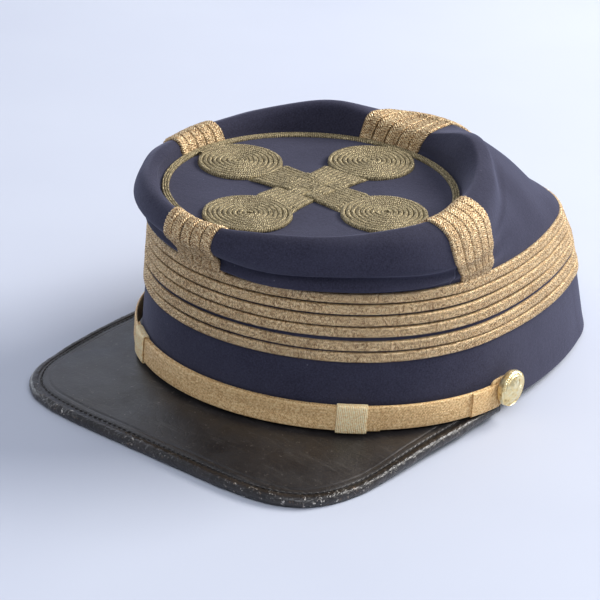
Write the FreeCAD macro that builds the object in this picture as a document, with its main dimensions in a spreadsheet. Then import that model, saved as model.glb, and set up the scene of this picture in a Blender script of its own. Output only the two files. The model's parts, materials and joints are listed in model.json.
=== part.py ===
"""Officer's kepi with a leather visor, gold lace and a chin strap on two side buttons.

Everything is drawn in the cap's own frame: the head opening lies in z = 0, the visor points to -Y,
+X is the wearer's left, and the side buttons' shanks lie along X. A last placement, shared by every
sub-part, stands the cap on the visor's front edge and the back of the band.
"""
import FreeCAD, Part
import math
import os
import Sketcher
from FreeCAD import Placement, Rotation, Vector

doc = FreeCAD.newDocument("kepi")
sheet = doc.addObject("Spreadsheet::Sheet", "Sheet")

DIMENSIONS = [
    # plan oval at the head opening, outside of the cloth
    ("half_width", 80.0),        # radius of the front half circle
    ("front_centre", 6.5),       # its centre lies this far ahead of the origin
    ("back_radius", 68.0),
    ("back_centre", 50.0),       # centre of the back arc, behind the origin
    ("taper", 0.00139),          # share of its size that the oval loses per mm of height
    ("lean", 0.146),             # mm that it moves forward per mm of height
    # cloth, linings and stiffeners
    ("band_height", 42.0),
    ("cloth", 1.6),
    ("stiffener", 1.0),
    ("stiffener_top", 38.0),
    ("leather", 1.2),
    ("sweatband_top", 36.0),
    ("tape_height", 4.0),
    ("hem", 1.0),                # what lies inside the cloth starts this far above its edge
    ("lining", 0.7),
    # lace rows
    ("row_bottom", 29.0),
    ("row_width", 4.35),
    ("row_gap", 0.35),
    ("wide_gap", 1.3),
    ("lace", 1.2),
    # crown top and its roll
    ("top_height", 75.9),
    ("top_forward", 30.0),
    ("top_tilt", 2.65),
    ("top_radius", 59.6),
    ("top_cloth", 1.6),
    ("top_board", 1.4),
    ("wall_top_radius", 69.0),
    ("roll_radius", 64.9),
    ("roll_tube", 6.3),
    ("roll_rise", 4.0),
    ("roll_tilt", 4.2),
    # cords on the crown
    ("cord_width", 4.6),
    ("cord_pitch", 5.1),
    ("ring_width", 2.9),
    ("knot_height", 2.2),
    ("coil_radius", 18.6),
    ("coil_distance", 38.0),
    ("arm_width", 19.5),
    # visor
    ("visor_half_width", 83.2),
    ("visor_front", 122.5),
    ("visor_shoulder", 26.3),    # the outline is widest this far ahead of the origin
    ("visor_exponent", 5.5),
    ("visor_drop", 8.2),
    ("visor_thickness", 3.0),
    ("visor_skin", 0.9),
    ("binding_width", 3.6),
    ("binding_skin", 0.5),
    # chin strap and its keepers
    ("strap_radius", 81.4),
    ("strap_layer", 0.9),
    ("strap_width", 10.7),
    ("strap_bottom", 0.9),
    ("keeper_left_angle", 43.5),   # rest places, which lie well within their travel
    ("keeper_right_angle", 34.0),
    ("keeper_length", 12.0),
    ("keeper_wall", 0.7),
    ("keeper_play", 0.3),
    ("keeper_skin", 0.3),        # wall of a keeper where it lies between the strap and the cap
    ("tab_top", 13.6),
    ("tab_hole", 2.1),
    # side buttons
    ("button_ahead", 0.0),       # distance of the shanks' axis ahead of the origin
    ("button_height", 9.0),
    ("button_radius", 7.6),
    ("button_dome", 3.2),
    ("button_play", 0.5),        # between the strap and the button's plate
    ("plate_radius", 7.2),
    ("plate_thickness", 0.9),
    ("rim_thickness", 0.8),
    ("shank_radius", 1.6),
    ("shank_reach", 5.2),        # length of the shank inside the leather
    ("pin_inside", 3.4),         # distance of the pin inside the leather
    ("pin_radius", 0.5),
    ("pin_hole", 0.65),
    ("pin_length", 9.0),
    ("pin_eye_radius", 1.4),
    ("pin_eye_wire", 0.6),
    # eyelets in the band
    ("eyelet_radius", 3.2),
    ("eyelet_flange", 0.9),
    ("eyelet_proud", 0.3),       # part of the flange that stands out of the cloth
    ("eyelet_tube", 2.5),
    ("eyelet_bore", 1.9),
    ("eyelet_hole", 2.55),
    ("eyelet_length", 5.0),
]
for row, (alias, value) in enumerate(DIMENSIONS, start=1):
    sheet.set(f"A{row}", alias)
    sheet.set(f"B{row}", str(value))
    sheet.setAlias(f"B{row}", alias)
doc.recompute()


def size(alias):
    """Value of one driving dimension, in mm or degrees."""
    return float(sheet.get(alias))


def standing():
    """Placement that stands the cap on the visor's edge and the band's back, centred on the origin."""
    back = size("back_radius") + size("back_centre")
    front = size("visor_front")
    depth = size("visor_drop") + size("visor_thickness") + size("binding_skin")
    tilt = math.atan2(depth, front + back)
    shift = ((front - back) * math.cos(tilt) + depth * math.sin(tilt)) / 2
    turn = Rotation(Vector(1, 0, 0), -math.degrees(tilt))
    return Placement(Vector(0, shift, back * math.sin(tilt)), turn)


STAND = standing()
nodes = {}


def keep(obj, name):
    """Labels a finished sub-part, stands it with the others and lists it for export."""
    obj.Label = name
    obj.Placement = STAND
    nodes[name] = obj
    return obj


def add(kind, name, **values):
    """A document object with plain values and, for text that names the sheet, expressions."""
    obj = doc.addObject(kind, name)
    for key, value in values.items():
        if isinstance(value, str):
            obj.setExpression(key.replace("__", "."), value)
        else:
            setattr(obj, key, value)
    return obj


def cut(name, base, tool):
    return add("Part::Cut", name, Base=base, Tool=tool)


def common(name, base, tool):
    return add("Part::Common", name, Base=base, Tool=tool)


def fuse(name, *shapes):
    return add("Part::MultiFuse", name, Shapes=list(shapes))


def whole(name, shape):
    """One finished primitive as an object whose placement is free for standing the cap."""
    return add("Part::Compound", name, Links=[shape])


# ---------------------------------------------------------------- plan oval
def oval_terms(height, outset):
    """Expressions for the oval at a height: front radius, front centre, back radius, back centre."""
    scale = f"(1 - Sheet.taper * ({height}))"
    shift = f"Sheet.lean * ({height})"
    return (
        f"Sheet.half_width * {scale} + ({outset})",
        f"Sheet.front_centre * {scale} + {shift}",
        f"Sheet.back_radius * {scale} + ({outset})",
        f"Sheet.back_centre * {scale} - {shift}",
    )


def evaluate(expression):
    """Number that a sheet expression gives."""
    return float(sheet.evalExpression(expression))


def oval_arcs(front_radius, front_ahead, back_radius, back_behind):
    """The oval's four tangent arcs: front, left side, back, right side."""
    reach = back_behind + front_ahead
    spread = front_radius - back_radius
    side_radius = (reach**2 + front_radius**2 - back_radius**2) / (2 * spread)
    side_x = side_radius - front_radius
    joint = math.atan2(reach, side_x)
    up = Vector(0, 0, 1)

    def arc(x, y, radius, start, end):
        return Part.ArcOfCircle(Part.Circle(Vector(x, y, 0), up, radius), start, end)

    return [
        arc(0, -front_ahead, front_radius, -math.pi, 0),
        arc(-side_x, -front_ahead, side_radius, 0, joint),
        arc(0, back_behind, back_radius, joint, math.pi - joint),
        arc(side_x, -front_ahead, side_radius, math.pi - joint, math.pi),
    ]


def oval_sketch(owner, name, height, outset):
    """Sketch of the oval at a height, held by tangency and four bound dimensions."""
    if owner is None:
        sketch = doc.addObject("Sketcher::SketchObject", name)
        place = "Placement"
    else:
        sketch = owner.newObject("Sketcher::SketchObject", name)
        plane = [f for f in owner.Origin.OriginFeatures if f.Role == "XY_Plane"][0]
        sketch.AttachmentSupport = (plane, [""])
        sketch.MapMode = "FlatFace"
        place = "AttachmentOffset"
    terms = oval_terms(height, outset)
    values = [evaluate(term) for term in terms]
    sketch.addGeometry(oval_arcs(*values), False)
    start, end, centre = 1, 2, 3
    origin, y_axis = -1, -2
    for first, second in ((0, 1), (1, 2), (2, 3), (3, 0)):
        sketch.addConstraint(Sketcher.Constraint("Tangent", first, end, second, start))
    sketch.addConstraint(Sketcher.Constraint("PointOnObject", 0, centre, y_axis))
    sketch.addConstraint(Sketcher.Constraint("PointOnObject", 2, centre, y_axis))
    sketch.addConstraint(Sketcher.Constraint("Horizontal", 1, centre, 0, centre))
    sketch.addConstraint(Sketcher.Constraint("Horizontal", 3, centre, 0, centre))
    bound = [
        Sketcher.Constraint("Radius", 0, values[0]),
        Sketcher.Constraint("DistanceY", 0, centre, origin, 1, values[1]),
        Sketcher.Constraint("Radius", 2, values[2]),
        Sketcher.Constraint("DistanceY", origin, 1, 2, centre, values[3]),
    ]
    for constraint, term in zip(bound, terms):
        index = sketch.addConstraint(constraint)
        sketch.setExpression(f"Constraints[{index}]", term)
    sketch.setExpression(f"{place}.Base.z", height)
    return sketch


def ring(name, low, high, outer, inner):
    """Body between two ovals, one inside the other, from one height to another."""
    body = doc.addObject("PartDesign::Body", f"{name}_ring")
    for kind, outset, part in (("AdditiveLoft", outer, "outer"), ("SubtractiveLoft", inner, "inner")):
        sections = [
            oval_sketch(body, f"{name}_{part}_{level}", height, outset)
            for level, height in (("low", low), ("high", high))
        ]
        loft = body.newObject(f"PartDesign::{kind}", f"{name}_{part}_loft")
        loft.Profile = sections[0]
        loft.Sections = [sections[1]]
        loft.Ruled = True
    return body


# ---------------------------------------------------------------- band and what lies inside it
BAND_TOP = "Sheet.band_height"
INSIDE_CLOTH = "-Sheet.cloth"
INSIDE_STIFFENER = "-Sheet.cloth - Sheet.stiffener"
INSIDE_LEATHER = "-Sheet.cloth - Sheet.stiffener - Sheet.leather"

LEATHER_FOOT = "Sheet.hem + Sheet.tape_height"
eyelet_holes = []
for side, sign in (("left", 1), ("right", -1)):
    room = add("Part::Cylinder", f"eyelet_room_{side}", Radius="Sheet.eyelet_hole",
               Height="2 * Sheet.half_width")
    room.Placement.Rotation = Rotation(Vector(0, 1, 0), 90 * sign)
    room.setExpression("Placement.Base.y", "-Sheet.button_ahead")
    room.setExpression("Placement.Base.z", "Sheet.button_height")
    eyelet_holes.append(room)
for name, low, high, outer, inner in (
    ("band_cloth", "0", BAND_TOP, "0", INSIDE_CLOTH),
    ("band_stiffener", "Sheet.hem", "Sheet.stiffener_top", INSIDE_CLOTH, INSIDE_STIFFENER),
    ("sweatband", LEATHER_FOOT, "Sheet.sweatband_top", INSIDE_STIFFENER, INSIDE_LEATHER),
    ("sweatband_tape", "Sheet.hem", LEATHER_FOOT, INSIDE_STIFFENER, INSIDE_LEATHER),
):
    pierced = ring(name, low, high, outer, inner)
    for side, room in zip(("left", "right"), eyelet_holes):
        pierced = cut(f"{name}_{side}_hole", pierced, room)
    keep(pierced, name)

# ---------------------------------------------------------------- lace rows
ROWS = 6
ROWS_UNDER_WIDE_GAP = 2
LACE_TOP = f"Sheet.row_bottom + {ROWS} * Sheet.row_width + {ROWS - 2} * Sheet.row_gap + Sheet.wide_gap"
for number in range(ROWS):
    above = "" if number < ROWS_UNDER_WIDE_GAP else " + Sheet.wide_gap - Sheet.row_gap"
    low = f"Sheet.row_bottom + {number} * (Sheet.row_width + Sheet.row_gap){above}"
    row = ring(f"lace_row_{number + 1}", low, f"{low} + Sheet.row_width", "Sheet.lace", "0")
    keep(row, f"lace_row_{number + 1}")


# ---------------------------------------------------------------- crown
def circle_sketch(name, radius, ahead, height, tilt):
    """Circle in four arcs that start where the oval's arcs do, in a plane tilted up to the back."""
    sketch = doc.addObject("Sketcher::SketchObject", name)
    value = evaluate(radius)
    arcs = oval_arcs(*[evaluate(term) for term in oval_terms(BAND_TOP, "0")])
    joint = arcs[1].LastParameter
    corners = [-math.pi, 0, joint, math.pi - joint, math.pi]
    base = Part.Circle(Vector(0, 0, 0), Vector(0, 0, 1), value)
    for begin, finish in zip(corners, corners[1:]):
        sketch.addGeometry(Part.ArcOfCircle(base, begin, finish), False)
    for first, second in ((0, 1), (1, 2), (2, 3), (3, 0)):
        sketch.addConstraint(Sketcher.Constraint("Tangent", first, 2, second, 1))
    sketch.addConstraint(Sketcher.Constraint("Coincident", 0, 3, -1, 1))
    index = sketch.addConstraint(Sketcher.Constraint("Radius", 0, value))
    sketch.setExpression(f"Constraints[{index}]", radius)
    sketch.Placement = Placement(Vector(0, 0, 0), Rotation(Vector(1, 0, 0), evaluate(tilt)))
    sketch.setExpression("Placement.Base.y", f"-({ahead})")
    sketch.setExpression("Placement.Base.z", height)
    sketch.setExpression("Placement.Rotation.Angle", tilt)
    return sketch


RIM = "3"


def wall_solid(name, outset):
    """Crown's wall as a full solid, from the band's top to a circle that lies a little over the top."""
    low = oval_sketch(None, f"{name}_low", BAND_TOP, outset)
    middle = oval_sketch(None, f"{name}_middle", LACE_TOP, outset)
    high = circle_sketch(
        f"{name}_high",
        f"Sheet.wall_top_radius + ({outset})",
        f"Sheet.top_forward + {RIM} * sin(Sheet.top_tilt * 1 deg)",
        f"Sheet.top_height + {RIM}",
        "Sheet.top_tilt",
    )
    return add("Part::Loft", name, Sections=[low, middle, high], Solid=True, Ruled=True)


def tilted(name, kind, tilt, rise, **values):
    """Part primitive on the crown's top, turned about X and raised along z."""
    obj = add(kind, name, **values)
    obj.Placement = Placement(Vector(0, 0, 0), Rotation(Vector(1, 0, 0), evaluate(tilt)))
    obj.setExpression("Placement.Rotation.Angle", tilt)
    angle = "Sheet.top_tilt * 1 deg"
    obj.setExpression("Placement.Base.y", f"-Sheet.top_forward - ({rise}) * sin({angle})")
    obj.setExpression("Placement.Base.z", f"Sheet.top_height + ({rise}) * cos({angle})")
    return obj


def crown_solid(name, outset):
    """Wall and roll as one full solid, grown by outset."""
    wall = wall_solid(f"{name}_wall", outset)
    roll = tilted(
        f"{name}_roll", "Part::Torus", "Sheet.roll_tilt", "Sheet.roll_rise",
        Radius1="Sheet.roll_radius", Radius2=f"Sheet.roll_tube + ({outset})",
    )
    return fuse(name, wall, roll)


def hollow_solid(name, outset):
    """Space inside the wall, up to the underside of the roll."""
    below = tilted(f"{name}_below", "Part::Cylinder", "Sheet.top_tilt", "-Sheet.roll_tube - 100",
                   Radius="3 * Sheet.half_width", Height="100")
    return common(name, wall_solid(f"{name}_wall", outset), below)


full_crown = crown_solid("full_crown", "0")
crown_hollow = hollow_solid("crown_hollow", INSIDE_CLOTH)
top_well = tilted(
    "top_well", "Part::Cylinder", "Sheet.top_tilt", "-Sheet.roll_tube - 1",
    Radius="Sheet.top_radius", Height="40",
)
crown_open = cut("crown_open", full_crown, fuse("crown_space", crown_hollow, top_well))

FAR = 200.0
SIDES = {"left": 1, "right": -1}
for end, direction in (("front", -1), ("back", 1)):
    for side, sign in SIDES.items():
        quarter = add("Part::Box", f"quarter_{end}_{side}", Length=FAR, Width=FAR, Height=FAR)
        quarter.Placement.Base = Vector(0 if sign > 0 else -FAR, 0, 0)
        edge = "-Sheet.top_forward" if direction > 0 else f"-Sheet.top_forward - {FAR}"
        quarter.setExpression("Placement.Base.y", edge)
        keep(common(f"crown_{end}_{side}_piece", crown_open, quarter), f"crown_{end}_{side}")


for name, high, thickness in (
    ("crown_top_cloth", "0", "Sheet.top_cloth"),
    ("top_board", "-Sheet.top_cloth", "Sheet.top_board"),
    ("top_lining", "-Sheet.top_cloth - Sheet.top_board", "Sheet.lining"),
):
    disc = tilted(
        f"{name}_disc", "Part::Cylinder", "Sheet.top_tilt", f"({high}) - ({thickness})",
        Radius="Sheet.top_radius", Height=thickness,
    )
    keep(whole(f"{name}_piece", disc), name)

lining_inside = hollow_solid("lining_inside", f"{INSIDE_CLOTH} - Sheet.lining")
keep(cut("side_lining_piece", crown_hollow, lining_inside), "side_lining")

# ---------------------------------------------------------------- upright braids over the roll
cord_skin = cut("cord_skin", crown_solid("corded_crown", "Sheet.lace"), full_crown)
STRANDS = 5
for place, quarter_turns in (("front", 0), ("left", 1), ("back", 2), ("right", 3)):
    strips = []
    for strand in range(STRANDS):
        strip = add("Part::Box", f"strip_{place}_{strand}", Width=FAR, Height=FAR)
        strip.setExpression("Length", "Sheet.cord_width")
        offset = f"({strand - STRANDS // 2} * Sheet.cord_pitch - Sheet.cord_width / 2)"
        far_offset = f"({strand - STRANDS // 2} * Sheet.cord_pitch + Sheet.cord_width / 2)"
        strip.Placement.Rotation = Rotation(Vector(0, 0, 1), 180 + 90 * quarter_turns)
        base_x, base_y = {
            0: (far_offset, "-Sheet.top_forward"),
            1: ("0", f"-Sheet.top_forward + {far_offset}"),
            2: (offset, "-Sheet.top_forward"),
            3: ("0", f"-Sheet.top_forward + {offset}"),
        }[quarter_turns]
        strip.setExpression("Placement.Base.x", base_x)
        strip.setExpression("Placement.Base.y", base_y)
        strip.setExpression("Placement.Base.z", f"{LACE_TOP} + 0.2")
        strips.append(strip)
    group = common(f"braid_{place}_wide", cord_skin, fuse(f"strips_{place}", *strips))
    above_top = tilted(
        f"above_top_{place}", "Part::Cylinder", "Sheet.top_tilt", "-30",
        Radius="Sheet.top_radius + 0.4", Height="30 + Sheet.knot_height",
    )
    keep(cut(f"braid_{place}_piece", group, above_top), f"braid_{place}")

# ---------------------------------------------------------------- ring braid and knot on the top
ring_outer = tilted("ring_outer", "Part::Cylinder", "Sheet.top_tilt", "0",
                    Radius="Sheet.top_radius", Height="Sheet.knot_height * 0.7")
ring_inner = tilted("ring_inner", "Part::Cylinder", "Sheet.top_tilt", "0",
                    Radius="Sheet.top_radius - Sheet.ring_width", Height="Sheet.knot_height * 0.7")
keep(cut("ring_piece", ring_outer, ring_inner), "ring_braid")

COILS = {"front": (0, -1), "left": (1, 0), "back": (0, 1), "right": (-1, 0)}
coils = []
for place, (across, along) in COILS.items():
    coil = tilted(f"coil_{place}", "Part::Cylinder", "Sheet.top_tilt", "0",
                  Radius="Sheet.coil_radius", Height="Sheet.knot_height")
    away = f"{along} * Sheet.coil_distance"
    coil.setExpression("Placement.Base.x", f"{across} * Sheet.coil_distance")
    coil.setExpression("Placement.Base.y", f"-Sheet.top_forward + {away} * cos(Sheet.top_tilt * 1 deg)")
    coil.setExpression("Placement.Base.z", f"Sheet.top_height + {away} * sin(Sheet.top_tilt * 1 deg)")
    coils.append(coil)
    keep(whole(f"coil_{place}_piece", coil), f"knot_coil_{place}")

arms = []
for name, turned in (("arm_along", 0), ("arm_across", 90)):
    arm = add("Part::Box", name, Length="Sheet.arm_width", Width="2 * Sheet.coil_distance",
              Height="Sheet.knot_height")
    half = Vector(-size("arm_width") / 2, -size("coil_distance"), 0)
    turn = Rotation(Vector(1, 0, 0), size("top_tilt")) * Rotation(Vector(0, 0, 1), turned)
    centre = Vector(0, -size("top_forward"), size("top_height"))
    arm.Placement = Placement(centre + turn.multVec(half), turn)
    arms.append(arm)
keep(cut("knot_centre_piece", fuse("knot_arms", *arms), fuse("knot_coils", *coils)), "knot_centre")


# ---------------------------------------------------------------- visor
FREE_SECTIONS = 41
SIDE_SECTIONS = 4
SIDE_TAPER = 2.0
CLEAR = 0.05


def visor_edge(x, y):
    """Point of the visor's free edge, which lies level where the visor is full length."""
    from_band = math.hypot(x, y + size("front_centre")) - size("half_width")
    longest = size("visor_front") - size("front_centre") - size("half_width")
    share = min(1.0, max(0.0, from_band / longest)) ** 0.8
    table_slope = -STAND.Rotation.multVec(Vector(0, 1, 0)).z
    return Vector(x, y, -(size("visor_drop") - table_slope * (y + size("visor_front"))) * share)


def visor_edges(with_sides):
    """Free edge from the wearer's right to left: a squared oval and, behind it, sides to the buttons."""
    power = 2 / size("visor_exponent")
    half_width = size("visor_half_width")
    shoulder = size("visor_shoulder")
    reach = size("visor_front") - shoulder
    edges = []
    for index in range(FREE_SECTIONS):
        share = 2 * index / (FREE_SECTIONS - 1) - 1
        turn = math.copysign(abs(share) ** 0.75, share) * math.pi / 2
        x = half_width * math.copysign(abs(math.sin(turn)) ** power, turn)
        edges.append(visor_edge(x, -shoulder - reach * max(0.0, math.cos(turn)) ** power))
    if with_sides:
        for step in range(1, SIDE_SECTIONS + 1):
            share = step / SIDE_SECTIONS
            x = half_width - SIDE_TAPER * share
            y = -shoulder + (shoulder - size("button_ahead")) * share
            edges.insert(0, visor_edge(-x, y))
            edges.append(visor_edge(x, y))
    return edges


def visor_root(edge):
    """Point under the band that the visor's section through an edge point starts from."""
    angle = math.atan2(edge.x, -(edge.y + size("front_centre")))
    radius = size("half_width") - size("cloth") - size("stiffener")
    return Vector(radius * math.sin(angle), -size("front_centre") - radius * math.cos(angle), -CLEAR)


def visor_loft(name, profile, with_sides=True, room=None):
    """Solid through upright sections. Profile pairs are (distance in from the edge, height over the
    section's line), with None for a point at the root. A room is cut out of it."""
    wires = []
    for edge in visor_edges(with_sides):
        root = visor_root(edge)
        length = (root - edge).Length
        points = []
        for inward, rise in profile:
            share = 1.0 if inward is None else inward / length
            points.append(edge + (root - edge) * share + Vector(0, 0, rise))
        wires.append(Part.makePolygon(points + points[:1]))
    piece = doc.addObject("Part::Feature", f"{name}_piece")
    piece.Shape = Part.makeLoft(wires, True, True)
    keep(cut(f"{name}_clear", piece, room) if room else piece, name)


skin = size("visor_skin")
thick = size("visor_thickness")
lip = size("binding_skin")
wide = size("binding_width")
inset = lip + CLEAR
thread = 0.6
visor_loft("visor_top", [(None, 0), (inset, 0), (inset, -skin), (None, -skin)])
visor_loft("visor_core", [(None, -skin), (inset, -skin), (inset, skin - thick), (None, skin - thick)])
visor_loft("visor_lining", [(None, skin - thick), (inset, skin - thick), (inset, -thick), (None, -thick)])
band_room = add("Part::Loft", "band_room", Solid=True, Ruled=True, Sections=[
    oval_sketch(None, "room_low", "0", f"{CLEAR}"),
    oval_sketch(None, "room_high", "2 * Sheet.binding_width", f"{CLEAR}"),
])
visor_loft("visor_binding", [
    (wide, lip), (0, lip), (0, -thick - lip), (wide, -thick - lip),
    (wide, -thick - CLEAR), (lip, -thick - CLEAR), (lip, CLEAR), (wide, CLEAR),
], room=band_room)
visor_loft("visor_stitching", [
    (wide + 3 * thread, CLEAR), (wide + 2 * thread, CLEAR),
    (wide + 2 * thread, thread), (wide + 3 * thread, thread),
], with_sides=False)


# ---------------------------------------------------------------- chin strap
def arc_band(name, inner, outer, low, height, begin, finish):
    """Upright strip along the front half circle between two angles from straight ahead."""
    body = doc.addObject("PartDesign::Body", name)
    sketch = body.newObject("Sketcher::SketchObject", f"{name}_plan")
    plane = [f for f in body.Origin.OriginFeatures if f.Role == "XY_Plane"][0]
    sketch.AttachmentSupport = (plane, [""])
    sketch.MapMode = "FlatFace"
    sketch.setExpression("AttachmentOffset.Base.z", low)
    centre = Vector(0, -size("front_centre"), 0)
    radii = [evaluate(inner), evaluate(outer)]
    angles = [math.radians(a) - math.pi / 2 for a in (begin, finish)]
    arcs = [
        Part.ArcOfCircle(Part.Circle(centre, Vector(0, 0, 1), radius), *angles) for radius in radii
    ]
    ends = [
        Part.LineSegment(arcs[0].EndPoint, arcs[1].EndPoint),
        Part.LineSegment(arcs[0].StartPoint, arcs[1].StartPoint),
    ]
    sketch.addGeometry(arcs + ends, False)
    sketch.addConstraint(Sketcher.Constraint("Coincident", 0, 2, 2, 1))
    sketch.addConstraint(Sketcher.Constraint("Coincident", 1, 2, 2, 2))
    sketch.addConstraint(Sketcher.Constraint("Coincident", 0, 1, 3, 1))
    sketch.addConstraint(Sketcher.Constraint("Coincident", 1, 1, 3, 2))
    sketch.addConstraint(Sketcher.Constraint("Coincident", 0, 3, 1, 3))
    sketch.addConstraint(Sketcher.Constraint("PointOnObject", 0, 3, -2))
    index = sketch.addConstraint(
        Sketcher.Constraint("DistanceY", 0, 3, -1, 1, size("front_centre")))
    sketch.setExpression(f"Constraints[{index}]", "Sheet.front_centre")
    for arc, term in enumerate((inner, outer)):
        index = sketch.addConstraint(Sketcher.Constraint("Radius", arc, radii[arc]))
        sketch.setExpression(f"Constraints[{index}]", term)
    for line in (2, 3):
        sketch.addConstraint(Sketcher.Constraint("PointOnObject", 0, 3, line))
    pad = body.newObject("PartDesign::Pad", f"{name}_pad")
    pad.Profile = sketch
    pad.setExpression("Length", height)
    return body


STRAP_END = 90.0
OVERLAP_PAST_KEEPER = 8.0
KEEPERS = {side: size(f"keeper_{side}_angle") for side in SIDES}
LAYER = "Sheet.strap_layer"
ROOM = f"Sheet.strap_radius + 2 * {LAYER} + {CLEAR}"

for layer, (side, sign) in enumerate(SIDES.items()):
    name = f"strap_{side}"
    inner = f"Sheet.strap_radius + {layer} * ({LAYER} + {CLEAR})"
    other = "right" if side == "left" else "left"
    free_end = -sign * (KEEPERS[other] + OVERLAP_PAST_KEEPER)
    begin, finish = sorted((free_end, sign * STRAP_END))
    strip = arc_band(f"{name}_strip", inner, f"{inner} + {LAYER}", "Sheet.strap_bottom",
                     "Sheet.strap_width", begin, finish)
    tab = add("Part::Box", f"{name}_tab", Length=LAYER,
              Width="Sheet.front_centre - Sheet.button_ahead + Sheet.strap_width / 2",
              Height="Sheet.tab_top - Sheet.strap_bottom")
    tab.setExpression("Placement.Base.x", inner if sign > 0 else f"-({inner}) - {LAYER}")
    tab.setExpression("Placement.Base.y", "-Sheet.front_centre")
    tab.setExpression("Placement.Base.z", "Sheet.strap_bottom")
    hole = add("Part::Cylinder", f"{name}_hole", Radius="Sheet.tab_hole", Height=FAR)
    hole.Placement.Rotation = Rotation(Vector(0, 1, 0), 90)
    hole.Placement.Base = Vector(-FAR if sign < 0 else 0, 0, 0)
    hole.setExpression("Placement.Base.y", "-Sheet.button_ahead")
    hole.setExpression("Placement.Base.z", "Sheet.button_height")
    keep(cut(f"{name}_piece", fuse(f"{name}_whole", strip, tab), hole), name)

PLAY = "Sheet.keeper_play"
SKIN = "Sheet.keeper_skin"
half = math.degrees(size("keeper_length") / size("strap_radius")) / 2
for side, sign in SIDES.items():
    name = f"keeper_{side}"
    middle = sign * KEEPERS[side]
    shell = arc_band(f"{name}_shell", f"Sheet.strap_radius - {PLAY} - {SKIN}",
                     f"{ROOM} + {PLAY} + Sheet.keeper_wall", f"Sheet.strap_bottom - {PLAY} - {SKIN}",
                     f"Sheet.strap_width + 2 * ({PLAY} + {SKIN})", middle - half, middle + half)
    space = arc_band(f"{name}_space", f"Sheet.strap_radius - {PLAY}", f"{ROOM} + {PLAY}",
                     f"Sheet.strap_bottom - {PLAY}", f"Sheet.strap_width + 2 * {PLAY}",
                     middle - 2 * half, middle + 2 * half)
    keep(cut(f"{name}_piece", shell, space), name)


# ---------------------------------------------------------------- side buttons
def along_x(name, kind, sign, start, **values):
    """Primitive whose own z axis is the button's axis, pointing out of the cap, from x = start."""
    obj = add(kind, name, **values)
    obj.Placement.Rotation = Rotation(Vector(0, 1, 0), 90 * sign)
    obj.setExpression("Placement.Base.x", f"{sign} * ({start})")
    obj.setExpression("Placement.Base.y", "-Sheet.button_ahead")
    obj.setExpression("Placement.Base.z", "Sheet.button_height")
    return obj


def upright(name, kind, sign, foot, **values):
    """Primitive that stands upright in the plane of the pins, on the shanks' axis."""
    obj = add(kind, name, **values)
    obj.setExpression("Placement.Base.x", f"{sign} * ({INNER_FACE} - Sheet.pin_inside)")
    obj.setExpression("Placement.Base.y", "-Sheet.button_ahead")
    obj.setExpression("Placement.Base.z", foot)
    return obj


BACK_FACE = f"Sheet.strap_radius + 2 * {LAYER} + Sheet.button_play"
RIM_FACE = f"{BACK_FACE} + Sheet.plate_thickness"
DOME_FACE = f"{RIM_FACE} + Sheet.rim_thickness"
BALL = "(Sheet.button_radius ^ 2 + Sheet.button_dome ^ 2) / (2 * Sheet.button_dome)"
INNER_FACE = "Sheet.half_width - Sheet.cloth - Sheet.stiffener - Sheet.leather"
SHANK_FACE = f"{INNER_FACE} - Sheet.shank_reach"
for side, sign in SIDES.items():
    name = f"button_{side}"
    plate = along_x(f"{name}_plate", "Part::Cylinder", sign, BACK_FACE,
                    Radius="Sheet.plate_radius", Height="Sheet.plate_thickness")
    shank = along_x(f"{name}_shank", "Part::Cylinder", sign, SHANK_FACE, Radius="Sheet.shank_radius",
                    Height=f"{BACK_FACE} - ({SHANK_FACE}) + Sheet.plate_thickness / 2")
    pin_hole = upright(f"{name}_pin_hole", "Part::Cylinder", sign,
                       "Sheet.button_height - Sheet.pin_length",
                       Radius="Sheet.pin_hole", Height="2 * Sheet.pin_length")
    keep(cut(f"{name}_back_piece", fuse(f"{name}_back_whole", plate, shank), pin_hole), f"{name}_back")

    pin = upright(f"{name}_pin_wire", "Part::Cylinder", sign,
                  "Sheet.button_height - Sheet.pin_length / 2",
                  Radius="Sheet.pin_radius", Height="Sheet.pin_length")
    eye = upright(f"{name}_pin_eye", "Part::Torus", sign,
                  "Sheet.button_height + Sheet.pin_length / 2 + Sheet.pin_eye_radius - Sheet.pin_radius / 5",
                  Radius1="Sheet.pin_eye_radius", Radius2="Sheet.pin_eye_wire")
    eye.Placement.Rotation = Rotation(Vector(0, 1, 0), 90)
    keep(fuse(f"{name}_pin_piece", pin, eye), f"{name}_pin")

    rim = along_x(f"{name}_rim", "Part::Cylinder", sign, RIM_FACE,
                  Radius="Sheet.button_radius", Height="Sheet.rim_thickness")
    ball = along_x(f"{name}_ball", "Part::Sphere", sign,
                   f"{DOME_FACE} + Sheet.button_dome - {BALL}", Radius=BALL)
    front = along_x(f"{name}_front", "Part::Cylinder", sign, DOME_FACE,
                    Radius="Sheet.button_radius", Height="2 * Sheet.button_dome")
    dome = common(f"{name}_cap", ball, front)
    keep(fuse(f"{name}_dome_piece", rim, dome), f"{name}_dome")

    flange = along_x(f"eyelet_{side}_flange", "Part::Cylinder", sign,
                     "Sheet.half_width + Sheet.eyelet_proud - Sheet.eyelet_flange",
                     Radius="Sheet.eyelet_radius", Height="Sheet.eyelet_flange")
    tube = along_x(f"eyelet_{side}_tube", "Part::Cylinder", sign, f"{INNER_FACE} - Sheet.eyelet_length / 10",
                   Radius="Sheet.eyelet_tube", Height="Sheet.eyelet_length")
    bore = along_x(f"eyelet_{side}_bore", "Part::Cylinder", sign, f"{INNER_FACE} - Sheet.eyelet_length",
                   Radius="Sheet.eyelet_bore", Height="4 * Sheet.eyelet_length")
    eyelet_whole = fuse(f"eyelet_{side}_whole", flange, tube)
    keep(cut(f"eyelet_{side}_piece", eyelet_whole, bore), f"eyelet_{side}")

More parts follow.
